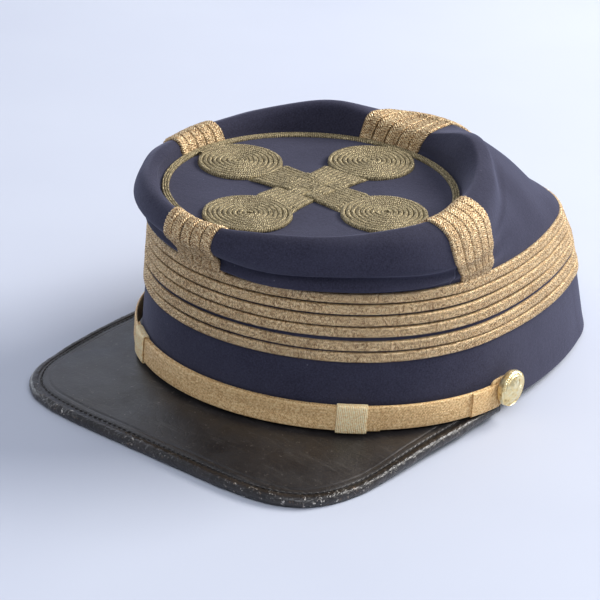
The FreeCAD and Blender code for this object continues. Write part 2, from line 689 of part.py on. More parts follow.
# ---------------------------------------------------------------- checks and export
doc.recompute()
for obj in doc.Objects:
    if "Invalid" in obj.State or "Error" in obj.State:
        raise RuntimeError(f"{obj.Name} failed: {obj.State}")
for name, obj in nodes.items():
    if obj.Shape.isNull() or not obj.Shape.isValid() or not obj.Shape.Solids:
        raise RuntimeError(f"{name} has no valid solid")

os.makedirs("parts", exist_ok=True)
for name, obj in nodes.items():
    obj.Shape.exportStep(f"parts/{name}.step")
box = Part.makeCompound([obj.Shape for obj in nodes.values()]).BoundBox
print(f"{len(nodes)} sub-parts, x {box.XMin:.2f} to {box.XMax:.2f}, "
      f"y {box.YMin:.2f} to {box.YMax:.2f}, z {box.ZMin:.2f} to {box.ZMax:.2f}")
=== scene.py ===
"""Looks of the officer's kepi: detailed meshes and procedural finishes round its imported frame.

Shapes are worked out in the cap's own frame, in millimetres: the head opening lies in z = 0, the visor
points to -Y and +X is the wearer's left. stand() then takes them to the frame that the model stands in.
"""

import json
import math

import bpy
import numpy as np
from mathutils import Matrix, Vector


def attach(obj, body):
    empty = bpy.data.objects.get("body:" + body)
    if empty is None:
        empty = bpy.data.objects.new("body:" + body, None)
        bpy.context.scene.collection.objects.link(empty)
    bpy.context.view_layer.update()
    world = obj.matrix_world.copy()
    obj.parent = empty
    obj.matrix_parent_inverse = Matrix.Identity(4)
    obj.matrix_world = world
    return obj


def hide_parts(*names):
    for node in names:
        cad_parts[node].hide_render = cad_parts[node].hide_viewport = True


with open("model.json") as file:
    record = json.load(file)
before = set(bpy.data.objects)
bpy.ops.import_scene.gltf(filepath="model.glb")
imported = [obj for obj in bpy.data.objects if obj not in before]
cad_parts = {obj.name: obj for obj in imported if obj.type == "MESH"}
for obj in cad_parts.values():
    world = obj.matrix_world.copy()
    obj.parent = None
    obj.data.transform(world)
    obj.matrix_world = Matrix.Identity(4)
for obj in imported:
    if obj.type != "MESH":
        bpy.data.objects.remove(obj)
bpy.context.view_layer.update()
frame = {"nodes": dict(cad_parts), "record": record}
scene = bpy.context.scene

MM = 0.001
TURN = 2 * math.pi

# ---- sizes, in mm and degrees
HALF_WIDTH, FRONT_CENTRE = 80.0, 6.5        # front half circle of the band
BACK_RADIUS, BACK_CENTRE = 68.0, 50.0
TAPER, LEAN = 0.00139, 0.146
BAND_HEIGHT, CLOTH = 42.0, 1.6
ROW_BOTTOM, ROW_WIDTH, ROW_GAP, WIDE_GAP = 29.0, 4.35, 0.35, 1.3
ROWS, ROWS_UNDER_WIDE_GAP = 6, 2
LACE_TOP = ROW_BOTTOM + ROWS * ROW_WIDTH + (ROWS - 2) * ROW_GAP + WIDE_GAP
LACE = 1.2
TOP_CENTRE = np.array([0.0, -30.0, 75.9])
TOP_TILT = math.radians(2.65)
TOP_RADIUS = 59.6
COIL_RADIUS, COIL_DISTANCE = 18.6, 38.0
CORD = 1.95
VISOR_HALF_WIDTH, VISOR_FRONT, VISOR_SHOULDER, VISOR_EXPONENT = 83.2, 122.5, 26.3, 5.5
VISOR_DROP, VISOR_THICKNESS = 8.2, 3.0
BINDING_WIDTH, BINDING_SKIN = 3.6, 0.5
STRAP_RADIUS, STRAP_LAYER, STRAP_WIDTH, STRAP_BOTTOM = 81.4, 0.9, 10.7, 0.9
KEEPER_LENGTH, KEEPER_WALL, KEEPER_PLAY = 12.0, 0.7, 0.3
KEEPER_ANGLES = {"left": 43.5, "right": 34.0}
OVERLAP_PAST_KEEPER = 8.0
BUTTON_AHEAD, BUTTON_HEIGHT, BUTTON_RADIUS, BUTTON_DOME = 0.0, 9.0, 7.6, 3.2
SHANK_RADIUS, BUTTON_BACK, BUTTON_GAP = 1.6, 0.9, 0.5
STIFFENER, STRAP_GAP = 1.0, 0.05
LACE_PITCH = 1.3                            # one turn of a lace's threads
SIDES = (("left", 1), ("right", -1))

# The head opening's mount gives the slope and the place at which the cap stands.
mount = frame["record"]["mounts"][0]
OPENING_CENTRE = (BACK_RADIUS + BACK_CENTRE - HALF_WIDTH - FRONT_CENTRE) / 2
SLOPE_SIN, SLOPE_COS = -mount["axis"][1], -mount["axis"][2]
SHIFT = mount["pos_m"][1] / MM - OPENING_CENTRE * SLOPE_COS
LIFT = mount["pos_m"][2] / MM + OPENING_CENTRE * SLOPE_SIN


def stand(points):
    """Points of the cap's frame, in mm, as metres in the model's frame."""
    points = np.asarray(points, float)
    along = points[..., 1] * SLOPE_COS + points[..., 2] * SLOPE_SIN + SHIFT
    high = points[..., 2] * SLOPE_COS - points[..., 1] * SLOPE_SIN + LIFT
    return np.stack([points[..., 0], along, high], -1) * MM


# ---- camera and stage
VIEW_AZIMUTH, VIEW_ELEVATION, VIEW_ROLL = (math.radians(a) for a in (38.1, 22.79, 4.25))
VIEW_TARGET = np.array([-24.84, 0.0, 11.5])
VIEW_DISTANCE = 1193.3
LENS = 170.3


def turned(vector):
    """Direction of the cap's frame in the model's frame."""
    origin = stand(np.zeros(3))
    moved = stand(np.asarray(vector, float)) - origin
    return moved / np.linalg.norm(moved)


def make_camera():
    sin_a, cos_a = math.sin(VIEW_AZIMUTH), math.cos(VIEW_AZIMUTH)
    sin_e, cos_e = math.sin(VIEW_ELEVATION), math.cos(VIEW_ELEVATION)
    back = np.array([sin_a * cos_e, -cos_a * cos_e, sin_e])
    level = np.array([cos_a, sin_a, 0.0])
    over = np.cross(back, level)
    right = math.cos(VIEW_ROLL) * level + math.sin(VIEW_ROLL) * over
    up = math.cos(VIEW_ROLL) * over - math.sin(VIEW_ROLL) * level
    camera = bpy.data.objects.new("camera", bpy.data.cameras.new("camera"))
    camera.data.lens = LENS
    camera.data.clip_start, camera.data.clip_end = 0.05, 20
    matrix = Matrix.Identity(4)
    for column, axis in enumerate((right, up, back)):
        matrix.col[column][:3] = turned(axis)
    matrix.translation = stand(VIEW_TARGET + back * VIEW_DISTANCE)
    camera.matrix_world = matrix
    scene.collection.objects.link(camera)
    scene.camera = camera
    return matrix


# ---- materials
def linear(red, green, blue):
    """Linear colour of 8-bit display values."""
    def decode(value):
        value /= 255
        return value / 12.92 if value <= 0.04045 else ((value + 0.055) / 1.055) ** 2.4
    return (*(decode(v) for v in (red, green, blue)), 1.0)


def tint(value):
    """A socket as it is, and three 8-bit values as a linear colour."""
    return linear(*value) if isinstance(value, tuple) else value


class Shader:
    """A material's node tree, with short calls for the nodes that the finishes share."""

    def __init__(self, name):
        self.material = bpy.data.materials.new(name)
        self.material.use_nodes = True
        self.tree = self.material.node_tree
        self.surface = next(n for n in self.tree.nodes if n.type == "BSDF_PRINCIPLED")
        self.place = self.node("ShaderNodeTexCoord").outputs["Object"]

    def node(self, kind, inputs=None, **settings):
        made = self.tree.nodes.new(kind)
        for key, value in settings.items():
            setattr(made, key, value)
        for key, value in (inputs or {}).items():
            self.feed(made.inputs[key], value)
        return made

    def feed(self, socket, value):
        if isinstance(value, bpy.types.NodeSocket):
            self.tree.links.new(value, socket)
        else:
            socket.default_value = value

    def finish(self, **inputs):
        for key, value in inputs.items():
            self.feed(self.surface.inputs[key.replace("_", " ")], value)
        return self.material

    def noise(self, scale, detail=3.0, roughness=0.55, stretch=None):
        place = self.place
        if stretch:
            place = self.node("ShaderNodeMapping", {"Vector": place, "Scale": stretch}).outputs[0]
        inputs = {"Vector": place, "Scale": scale, "Detail": detail, "Roughness": roughness}
        return self.node("ShaderNodeTexNoise", inputs).outputs["Fac"]

    def cells(self, scale, feature="F1"):
        inputs = {"Vector": self.place, "Scale": scale}
        return self.node("ShaderNodeTexVoronoi", inputs, feature=feature).outputs["Distance"]

    def math(self, operation, first, second=0.0, third=0.5):
        inputs = {0: first, 1: second, 2: third}
        return self.node("ShaderNodeMath", inputs, operation=operation).outputs[0]

    def ramp(self, factor, *stops):
        """Colour ramp through (position, 8-bit colour or grey value) stops."""
        made = self.node("ShaderNodeValToRGB", {"Fac": factor})
        elements = made.color_ramp.elements
        while len(elements) < len(stops):
            elements.new(0.5)
        for element, (position, colour) in zip(elements, stops):
            element.position = position
            element.color = tint(colour) if isinstance(colour, tuple) else (colour,) * 3 + (1.0,)
        return made.outputs["Color"]

    def mix(self, factor, first, second):
        made = self.node("ShaderNodeMix", data_type="RGBA", blend_type="MIX")
        for number, value in ((0, factor), (6, first), (7, tint(second))):
            self.feed(made.inputs[number], value)
        return made.outputs[2]

    def bump(self, height, strength, distance, under=None):
        inputs = {"Height": height, "Strength": strength, "Distance": distance * MM}
        if under is not None:
            inputs["Normal"] = under
        return self.node("ShaderNodeBump", inputs).outputs["Normal"]

    def weave(self):
        """Distances along and across a lace, in mm, from its own map."""
        place = self.node("ShaderNodeUVMap", uv_map="weave").outputs["UV"]
        parts = self.node("ShaderNodeSeparateXYZ", {0: place})
        return parts.outputs[0], parts.outputs[1]


def wool():
    shader = Shader("navy_wool")
    fibres = shader.noise(1500, 4, 0.7)
    patches = shader.noise(45, 4, 0.6)
    nap = shader.ramp(fibres, (0.30, (36, 35, 47)), (0.72, (60, 59, 76)))
    worn = shader.ramp(patches, (0.35, 0.0), (0.75, 0.35))
    colour = shader.mix(worn, nap, (68, 68, 84))
    specks = shader.ramp(shader.cells(260), (0.03, 1.0), (0.07, 0.0))
    lint = shader.math("MULTIPLY", specks, shader.ramp(shader.noise(90, 2), (0.56, 0.0), (0.62, 0.45)))
    colour = shader.mix(lint, colour, (150, 148, 160))
    rough = shader.bump(shader.noise(420, 4, 0.6), 0.35, 0.35)
    return shader.finish(
        Base_Color=colour, Roughness=0.92, Sheen_Weight=0.35, Sheen_Roughness=0.45,
        Sheen_Tint=linear(170, 172, 200), Specular_IOR_Level=0.15,
        Normal=shader.bump(fibres, 0.6, 0.12, rough),
    )


def metal_thread(name, dark, middle, bright, pitch, slant, metallic=0.45, grain=900, worn=0.4,
                 spread=0.4):
    """Woven or twisted metallic thread: slanted threads from the lace's own map and a grain, with
    painted shade between the threads and painted highlight glints in the colour.
    """
    shader = Shader(name)
    along, across = shader.weave()
    skew = shader.math("MULTIPLY_ADD", shader.math("ABSOLUTE", across), slant, along)
    threads = shader.math("SINE", shader.math("MULTIPLY", skew, TURN / pitch))
    threads = shader.math("MULTIPLY_ADD", threads, 0.5, 0.5)
    # The grain noise gives roughness and bumps, and painted highlight glints in the colour.
    grain_and_glints = shader.ramp(shader.noise(grain, 2, 0.6), (0.36, 0.0), (0.64, 1.0))
    lit = shader.math("MULTIPLY_ADD", threads, 0.4, shader.math("MULTIPLY", grain_and_glints, 0.6))
    # Colour ramp from dark to bright: painted shade where the threads dip, painted highlight glints
    # from the grain.
    colour = shader.ramp(lit, (0.5 - spread, dark), (0.5, middle), (0.5 + spread, bright))
    tarnish = shader.ramp(shader.noise(70, 4, 0.65), (0.42, 0.0), (0.75, worn))
    colour = shader.mix(tarnish, colour, dark)
    roughness = shader.ramp(grain_and_glints, (0.0, 0.62), (1.0, 0.36))
    grain_bump = shader.bump(grain_and_glints, 0.5, 0.2)
    return shader.finish(
        Base_Color=colour, Metallic=metallic, Roughness=roughness,
        Normal=shader.bump(threads, 0.7, 0.25, grain_bump),
    )


def enamelled_leather():
    shader = Shader("visor_leather")
    pores = shader.noise(900, 4, 0.6)
    cloudy = shader.noise(30, 5, 0.6)
    colour = shader.ramp(cloudy, (0.35, (28, 26, 27)), (0.7, (50, 46, 45)))
    scratches = shader.noise(70, 6, 0.8, stretch=(1.0, 7.0, 1.0))
    scuffs = shader.ramp(scratches, (0.54, 0.0), (0.70, 0.5))
    colour = shader.mix(scuffs, colour, (92, 88, 84))
    flecks = shader.ramp(shader.noise(520, 3, 0.9), (0.64, 0.0), (0.70, 0.7))
    colour = shader.mix(flecks, colour, (128, 120, 112))
    roughness = shader.ramp(shader.noise(120, 5, 0.7), (0.3, 0.30), (0.75, 0.52))
    crackle = shader.ramp(shader.cells(330, "DISTANCE_TO_EDGE"), (0.0, 0.0), (0.12, 1.0))
    cracked = shader.bump(crackle, 0.22, 0.12)
    grained = shader.bump(pores, 0.25, 0.15, cracked)
    return shader.finish(
        Base_Color=colour, Roughness=roughness, Specular_IOR_Level=0.6, Coat_Weight=0.25,
        Coat_Roughness=0.35, Normal=shader.bump(shader.noise(60, 4), 0.3, 0.8, grained),
    )


def worn_binding():
    shader = Shader("worn_binding")
    chip_and_glint_specks = shader.ramp(shader.noise(520, 3, 0.8), (0.60, 0.0), (0.64, 1.0))
    zones = shader.ramp(shader.noise(26, 2, 0.5), (0.46, 0.0), (0.56, 1.0))
    chips_and_glints = shader.math("MULTIPLY", chip_and_glint_specks, zones)
    tones = shader.noise(240, 2)
    base = shader.ramp(shader.noise(90, 4), (0.3, (20, 18, 18)), (0.7, (46, 40, 38)))
    # Specks run from tan bare leather, which are real chips, to near-white painted highlight glints.
    bare_and_glint = shader.ramp(tones, (0.40, (110, 84, 60)), (0.58, (205, 200, 192)))
    crackle = shader.ramp(shader.cells(420, "DISTANCE_TO_EDGE"), (0.0, 0.0), (0.16, 1.0))
    bumpy = shader.bump(crackle, 0.5, 0.25)
    return shader.finish(
        Base_Color=shader.mix(chips_and_glints, base, bare_and_glint), Roughness=0.36, Specular_IOR_Level=0.6,
        Coat_Weight=0.2, Coat_Roughness=0.3, Normal=shader.bump(chips_and_glints, 0.6, 0.25, bumpy),
    )


def plain_leather(name, dark, light, gloss, grain):
    shader = Shader(name)
    cloudy = shader.noise(40, 5, 0.6)
    pores = shader.cells(grain)
    colour = shader.ramp(cloudy, (0.3, dark), (0.7, light))
    # Painted shade: the pits of the pores are darker.
    colour = shader.mix(shader.ramp(pores, (0.0, 0.35), (0.3, 0.0)), colour, dark)
    roughness = shader.ramp(shader.noise(150, 4), (0.3, gloss), (0.7, gloss + 0.2))
    return shader.finish(
        Base_Color=colour, Roughness=roughness,
        Normal=shader.bump(pores, 0.35, 0.2, shader.bump(cloudy, 0.2, 0.6)),
    )


def plain_weave(name, dark, light, pitch, gloss=0.8, sheen=0.1):
    """Over-and-under cloth of even yarns, in the object's own coordinates."""
    shader = Shader(name)
    inputs = {"Vector": shader.place, "Scale": 1 / (pitch * MM)}
    yarns = shader.node("ShaderNodeTexChecker", inputs).outputs["Fac"]
    slub = shader.noise(300, 4, 0.7)
    height = shader.math("MULTIPLY_ADD", yarns, 0.4, slub)
    # Colour follows the weave's height: the low yarns are painted darker, as painted shade between
    # them.
    colour = shader.ramp(height, (0.3, dark), (0.95, light))
    return shader.finish(
        Base_Color=colour, Roughness=gloss, Sheen_Weight=sheen,
        Normal=shader.bump(height, 0.4, 0.15),
    )


def pasteboard():
    shader = Shader("pasteboard")
    fibres = shader.noise(500, 5, 0.7, stretch=(1.0, 0.3, 1.0))
    colour = shader.ramp(fibres, (0.3, (140, 118, 90)), (0.7, (178, 156, 124)))
    return shader.finish(Base_Color=colour, Roughness=0.9, Normal=shader.bump(fibres, 0.3, 0.1))


def gilt():
    shader = Shader("gilt_brass")
    soil_and_glint = shader.noise(380, 5, 0.7)
    # From soiled dark brass through gold to a pale stop that is a painted highlight.
    colour = shader.ramp(soil_and_glint, (0.30, (168, 132, 74)), (0.44, (244, 220, 160)),
                         (0.70, (255, 248, 212)))
    scratches = shader.noise(900, 4, 0.7, stretch=(1.0, 5.0, 1.0))
    roughness = shader.ramp(scratches, (0.3, 0.26), (0.7, 0.42))
    return shader.finish(Base_Color=colour, Metallic=1.0, Roughness=roughness,
                         Normal=shader.bump(scratches, 0.12, 0.08))


def studio_floor():
    shader = Shader("studio_floor")
    mottled = shader.noise(6, 3, 0.5)
    colour = shader.ramp(mottled, (0.3, (201, 206, 220)), (0.7, (206, 211, 224)))
    return shader.finish(Base_Color=colour, Roughness=0.85, Specular_IOR_Level=0.2)


WOOL = wool()
LACE_GOLD = metal_thread("lace_gold", (94, 64, 42), (212, 174, 124), (255, 236, 192),
                         pitch=0.82, slant=0.7, grain=1500, worn=0.25, spread=0.36)
CORD_GOLD = metal_thread("cord_gold", (70, 60, 40), (144, 128, 92), (222, 204, 160),
                         pitch=0.9, slant=0.9, metallic=0.4, grain=1700, worn=0.3, spread=0.40)
STRAP_GOLD = metal_thread("strap_gold", (180, 134, 82), (240, 198, 138), (255, 230, 176),
                          pitch=1.0, slant=1.7, metallic=0.22, grain=1200, worn=0.12, spread=0.55)
KEEPER_GOLD = metal_thread("keeper_gold", (234, 190, 132), (255, 228, 172), (255, 246, 210),
                           pitch=0.8, slant=0.2, metallic=0.05, grain=1400, worn=0.1, spread=0.55)
VISOR_LEATHER = enamelled_leather()
BINDING_LEATHER = worn_binding()
UNDER_LEATHER = plain_leather("visor_underside", (44, 52, 44), (62, 70, 58), 0.5, 500)
SWEAT_LEATHER = plain_leather("sweatband_leather", (84, 52, 30), (122, 80, 48), 0.38, 420)
BUCKRAM = plain_weave("buckram", (150, 140, 116), (196, 186, 160), 0.9)
TAPE = plain_weave("tape", (40, 36, 34), (64, 60, 56), 0.5)
LINING = plain_weave("lining", (74, 60, 48), (112, 94, 76), 0.35, gloss=0.5, sheen=0.25)
THREAD = plain_weave("waxed_thread", (24, 22, 22), (58, 54, 52), 0.3, gloss=0.5)
BOARD = pasteboard()
GILT = gilt()


# ---- mesh kit
def mesh_object(name, points, faces, material):
    """Smooth mesh object of points in metres, in the scene."""
    mesh = bpy.data.meshes.new(name)
    mesh.from_pydata(points.tolist(), [], faces)
    mesh.polygons.foreach_set("use_smooth", [True] * len(mesh.polygons))
    mesh.materials.append(material)
    made = bpy.data.objects.new(name, mesh)
    scene.collection.objects.link(made)
    return made


class Patches:
    """One mesh made of grids of points, each with its own map of distances along and across."""

    def __init__(self):
        self.points, self.faces, self.maps, self.count = [], [], [], 0

    def grid(self, points, ring=False, tube=False, along=None, across=None, caps=False):
        """Adds a grid (rows, columns, 3) in mm. ring closes its rows, tube its columns."""
        rows, columns = points.shape[:2]
        if along is None:
            along = np.arange(rows + ring, dtype=float)
        if across is None:
            across = np.arange(columns + tube, dtype=float)
        row = np.arange(rows if ring else rows - 1)[:, None]
        column = np.arange(columns if tube else columns - 1)[None, :]
        next_row, next_column = (row + 1) % rows, (column + 1) % columns
        corners = [
            (row, column, row, column), (row, next_column, row, column + 1),
            (next_row, next_column, row + 1, column + 1), (next_row, column, row + 1, column),
        ]
        quads = np.stack([(a * columns + b + self.count).ravel() for a, b, _, _ in corners], 1)
        spread = np.stack([
            np.stack(np.broadcast_arrays(along[c], across[d]), -1).reshape(-1, 2)
            for _, _, c, d in corners
        ], 1)
        self.faces += quads.tolist()
        self.maps.append(spread.reshape(-1, 2))
        if caps:
            for end, order in ((0, 1), (rows - 1, -1)):
                loop = [end * columns + k + self.count for k in range(columns)][::order]
                self.faces.append(loop)
                self.maps.append(np.stack([np.full(columns, along[end]), across[:columns][::order]], 1))
        self.points.append(stand(points).reshape(-1, 3))
        self.count += rows * columns
        return self

    def piece(self, name, material, body, *nodes, slot=None, solidify=0.0, flip=False):
        """Turns the grids into one piece that rides on a body and stands for CAD nodes."""
        faces = [face[::-1] for face in self.faces] if flip else self.faces
        made = mesh_object(name, np.concatenate(self.points), faces, material)
        weave = np.concatenate(self.maps)
        if flip:
            sizes = np.cumsum([0] + [len(face) for face in faces])
            order = np.concatenate([np.arange(b - 1, a - 1, -1) for a, b in zip(sizes, sizes[1:])])
            weave = weave[order]
        made.data.uv_layers.new(name="weave").data.foreach_set("uv", weave.ravel())
        made.data.update()
        if solidify:
            shell = made.modifiers.new("thickness", "SOLIDIFY")
            shell.thickness = solidify * MM
            shell.offset = -1
        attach(made, body)
        if nodes:
            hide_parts(*nodes)
        return made


def catmull(points, share):
    """Catmull-Rom value between the second and third of four neighbours."""
    a, b, c, d = points
    return 0.5 * (2 * b + (c - a) * share + (2 * a - 5 * b + 4 * c - d) * share**2
                  + (3 * b - a - 3 * c + d) * share**3)


def around(turn, values):
    """Smooth value round the crown, from values given at equal steps from straight ahead."""
    count = len(values)
    at = (np.asarray(turn, float) / TURN * count) % count
    first = np.floor(at).astype(int)
    values = np.asarray(values, float)
    near = [values[(first + step) % count] for step in (-1, 0, 1, 2)]
    return catmull(near, at - first)


def ripple(points, length, seed, waves=7):
    """Smooth unevenness from about -1 to 1 over points in mm, with waves of about that length."""
    rng = np.random.default_rng(seed)
    total = np.zeros(points.shape[:-1])
    for _ in range(waves):
        direction = rng.normal(size=3)
        direction *= TURN / length / np.linalg.norm(direction) * rng.uniform(0.6, 1.4)
        total += np.sin(points @ direction + rng.uniform(0, TURN))
    return total / math.sqrt(waves) / 1.2


def lengths(line):
    """Distance along a line of points, from its first."""
    return np.concatenate([[0.0], np.cumsum(np.linalg.norm(np.diff(line, axis=0), axis=1))])


def resampled(line, run, at):
    """Points of a line at other distances along it."""
    return np.stack([np.interp(at, run, line[:, axis]) for axis in range(3)], 1)


def evenly(run, pitch):
    """Even distances along a line whose own are given, four for each turn of its threads."""
    return np.linspace(0, run[-1], 4 * round(run[-1] / pitch) + 1)


def squircle(angles, power):
    """Radius of a rounded square of half width 1 in each direction."""
    return (np.abs(np.cos(angles)) ** power + np.abs(np.sin(angles)) ** power) ** (-1 / power)


def bell(value, middle, width):
    """Smooth bump of height 1."""
    return np.exp(-(((value - middle) / width) ** 2))


def turn_from(turn, middle):
    """Signed angle of a direction from another one."""
    return np.angle(np.exp(1j * (np.asarray(turn, float) - middle)))


# The worn band stands out a little at the back of the wearer's left.
SWELL_TURN = math.radians(132)
SWELL_HEIGHTS, SWELL = (0, 32, 45, 58), (4.2, 3.7, 2.9, 0.0)
# Further back, its top edge leans in.
TUCK_TURN = math.radians(167)
TUCK_HEIGHTS, TUCK = (34, 58), (0.0, 6.2)


def oval(turn, height, outset=0.0):
    """Points of the band's oval. turn is the outward normal's angle from straight ahead."""
    turn = turn_from(turn, 0)
    scale = 1 - TAPER * height
    front_radius, back_radius = HALF_WIDTH * scale, BACK_RADIUS * scale
    front_y = -FRONT_CENTRE * scale - LEAN * height
    back_y = BACK_CENTRE * scale - LEAN * height
    reach = back_y - front_y
    side_radius = (reach**2 + front_radius**2 - back_radius**2) / (2 * (front_radius - back_radius))
    side_x = side_radius - front_radius
    ahead = np.abs(turn) <= math.pi / 2
    behind = np.abs(turn) >= math.pi / 2 + np.arctan2(reach, side_x)
    radius = np.where(ahead, front_radius, np.where(behind, back_radius, side_radius)) + outset
    swell = np.interp(height, SWELL_HEIGHTS, SWELL)
    tuck = np.interp(height, TUCK_HEIGHTS, TUCK)
    radius = radius + swell * bell(turn_from(turn, SWELL_TURN), 0, 0.55)
    radius = radius - tuck * bell(turn_from(turn, TUCK_TURN), 0, 0.40)
    x = np.where(ahead | behind, 0.0, -np.sign(turn) * side_x) + radius * np.sin(turn)
    y = np.where(behind, back_y, front_y) - radius * np.cos(turn)
    return np.stack(np.broadcast_arrays(x, y, height + 0.0 * turn), -1)


FINE_TURNS = np.linspace(-math.pi, math.pi, 1441)


def even_turns(count, height):
    """count + 1 normals' angles, evenly spaced along the oval at a height, and their distances."""
    run = lengths(oval(FINE_TURNS, height))
    at = np.linspace(0, run[-1], count + 1)
    return np.interp(at, run, FINE_TURNS), at


def front_arc(angle, radius):
    """x and y of points on an arc round the centre of the band's front."""
    return radius * np.sin(angle), -FRONT_CENTRE - radius * np.cos(angle)


# ---- laces and cords
def lace_section(width, thickness, ribs, samples):
    """Across and height of a lace's section, round from one edge over its ribs to the underside."""
    across = np.linspace(-0.5, 0.5, samples)
    crown = np.abs(np.sin(np.pi * ribs * (across + 0.5))) ** 0.6
    edge = (1 - np.abs(2 * across) ** 10) ** 0.5
    height = thickness * edge * (0.80 + 0.20 * crown)
    under = np.array([0.42, 0.0, -0.42])
    return (
        np.concatenate([across, under]) * width,
        np.concatenate([height, np.full(3, -0.25)]),
        np.concatenate([across, under]),
    )


def laid_lace(patches, place, run, width, thickness, ribs=2, samples=11, pitch=LACE_PITCH,
              relief=0.13, ring=False, map_start=0.0):
    """A lace along a line. place(index array, across, height) gives points. run is the distances of
    the line's points, with the closing one last where the line is a ring."""
    across, height, share = lace_section(width, thickness, ribs, samples)
    count = len(run) - 1 if ring else len(run)
    index = np.arange(count)[:, None]
    rib = np.floor((share[None, :] + 0.5) * ribs * 0.9999)
    lean = np.where(rib % 2 == 0, 1.0, -1.0) * ((share[None, :] + 0.5) * ribs - rib)
    threads = np.sin(TURN * (run[:count, None] / pitch + 0.5 * lean))
    lifted = height[None, :] + relief * threads * (height[None, :] > 0.2 * thickness)
    points = place(index, across[None, :] + 0.0 * index, lifted)
    perimeter = np.concatenate([across, [across[0]]])
    patches.grid(points, ring=ring, tube=True, along=run + map_start, across=perimeter,
                 caps=not ring)


def lace_rows():
    """Six flat laces round the band, two of them below a wider gap."""
    for number in range(ROWS):
        low = ROW_BOTTOM + number * (ROW_WIDTH + ROW_GAP)
        low += (WIDE_GAP - ROW_GAP) * (number >= ROWS_UNDER_WIDE_GAP)
        middle = low + ROW_WIDTH / 2
        _, run = even_turns(10, middle)
        turns, run = even_turns(4 * round(run[-1] / LACE_PITCH), middle)
        sway = 0.16 * ripple(oval(turns[:-1], 0.0), 90, 20 + number)
        swell = 0.12 * ripple(oval(turns[:-1], 0.0), 40, 40 + number)

        def place(index, across, height):
            turn = turns[index] + 0.0 * across
            level = middle + sway[index] + across
            return oval(turn, level, height + 0.02 + swell[index] * (height > 0.2))

        patches = Patches()
        laid_lace(patches, place, run, ROW_WIDTH, LACE * 0.92, ring=True,
                  pitch=run[-1] / round(run[-1] / LACE_PITCH))
        name = f"lace_row_{number + 1}"
        patches.piece(f"{name}_lace", LACE_GOLD, "cap", name, slot="gold_lace", flip=True)


# ---- crown
ALONG_TOP = np.array([0.0, math.cos(TOP_TILT), math.sin(TOP_TILT)])
OUT_OF_TOP = np.array([0.0, -math.sin(TOP_TILT), math.cos(TOP_TILT)])

# Values every twelfth of a turn from straight ahead towards the wearer's left.
CREST_RADIUS = (65.5, 65.5, 65.5, 66.5, 66.5, 69.0, 66.0, 65.5, 66.0, 65.5, 65.0, 65.0)
CREST_HEIGHT = (6.3, 7.9, 8.2, 8.8, 12.0, 16.2, 8.5, 13.8, 8.8, 6.2, 6.8, 6.2)
OUTER_RADIUS = (70.8, 70.4, 71.2, 76.6, 75.8, 76.0, 79.0, 71.0, 71.4, 71.6, 70.6, 70.4)
OUTER_HEIGHT = (-1.5, -1.5, -2.5, -7.0, -1.0, 9.0, 9.5, 7.5, 3.0, 0.0, -2.0, -2.0)
BULGE_AT = (0.24, 0.30, 0.28, 0.30, 0.30, 0.30, 0.30, 0.30, 0.30, 0.25, 0.22, 0.22)
BULGE = (1.6, 3.2, 3.2, 0.8, 0.8, 0.2, -1.6, 1.4, 1.2, 0.9, 0.8, 1.0)
FOLD_AT = (0.44, 0.50, 0.48, 0.55, 0.58, 0.60, 0.62, 0.60, 0.55, 0.42, 0.40, 0.40)
FOLD = (-1.8, -0.9, -1.0, -0.8, 0.6, 0.6, 0.6, 1.4, 0.4, -1.2, -2.0, -2.0)
UNDER_AT = (0.70, 0.68, 0.70, 0.80, 0.82, 0.84, 0.85, 0.84, 0.80, 0.70, 0.68, 0.70)
UNDER = (0.4, 1.3, 1.0, 0.0, 0.6, 0.3, 1.3, 1.2, 0.5, 0.0, 0.0, -0.2)
PROFILE_POINTS = 13


ACROSS_TOP = np.array([1.0, 0, 0])


def over_top(turn, radius, rise):
    """Point round the crown's top, turn from straight ahead towards the wearer's left."""
    turn, radius, rise = np.broadcast_arrays(*(np.asarray(v, float) for v in (turn, radius, rise)))
    flat = np.sin(turn)[..., None] * ACROSS_TOP - np.cos(turn)[..., None] * ALONG_TOP
    return TOP_CENTRE + radius[..., None] * flat + rise[..., None] * OUT_OF_TOP


FINE_EDGE = oval(FINE_TURNS, LACE_TOP)
FINE_DIRECTIONS = np.unwrap(np.arctan2(FINE_EDGE[:, 0], TOP_CENTRE[1] - FINE_EDGE[:, 1]))


def band_turn(turn):
    """Oval's normal angle at the point that lies in a direction from the crown top's centre."""
    turn = turn_from(turn, 0)
    return np.interp(turn, FINE_DIRECTIONS, FINE_TURNS)


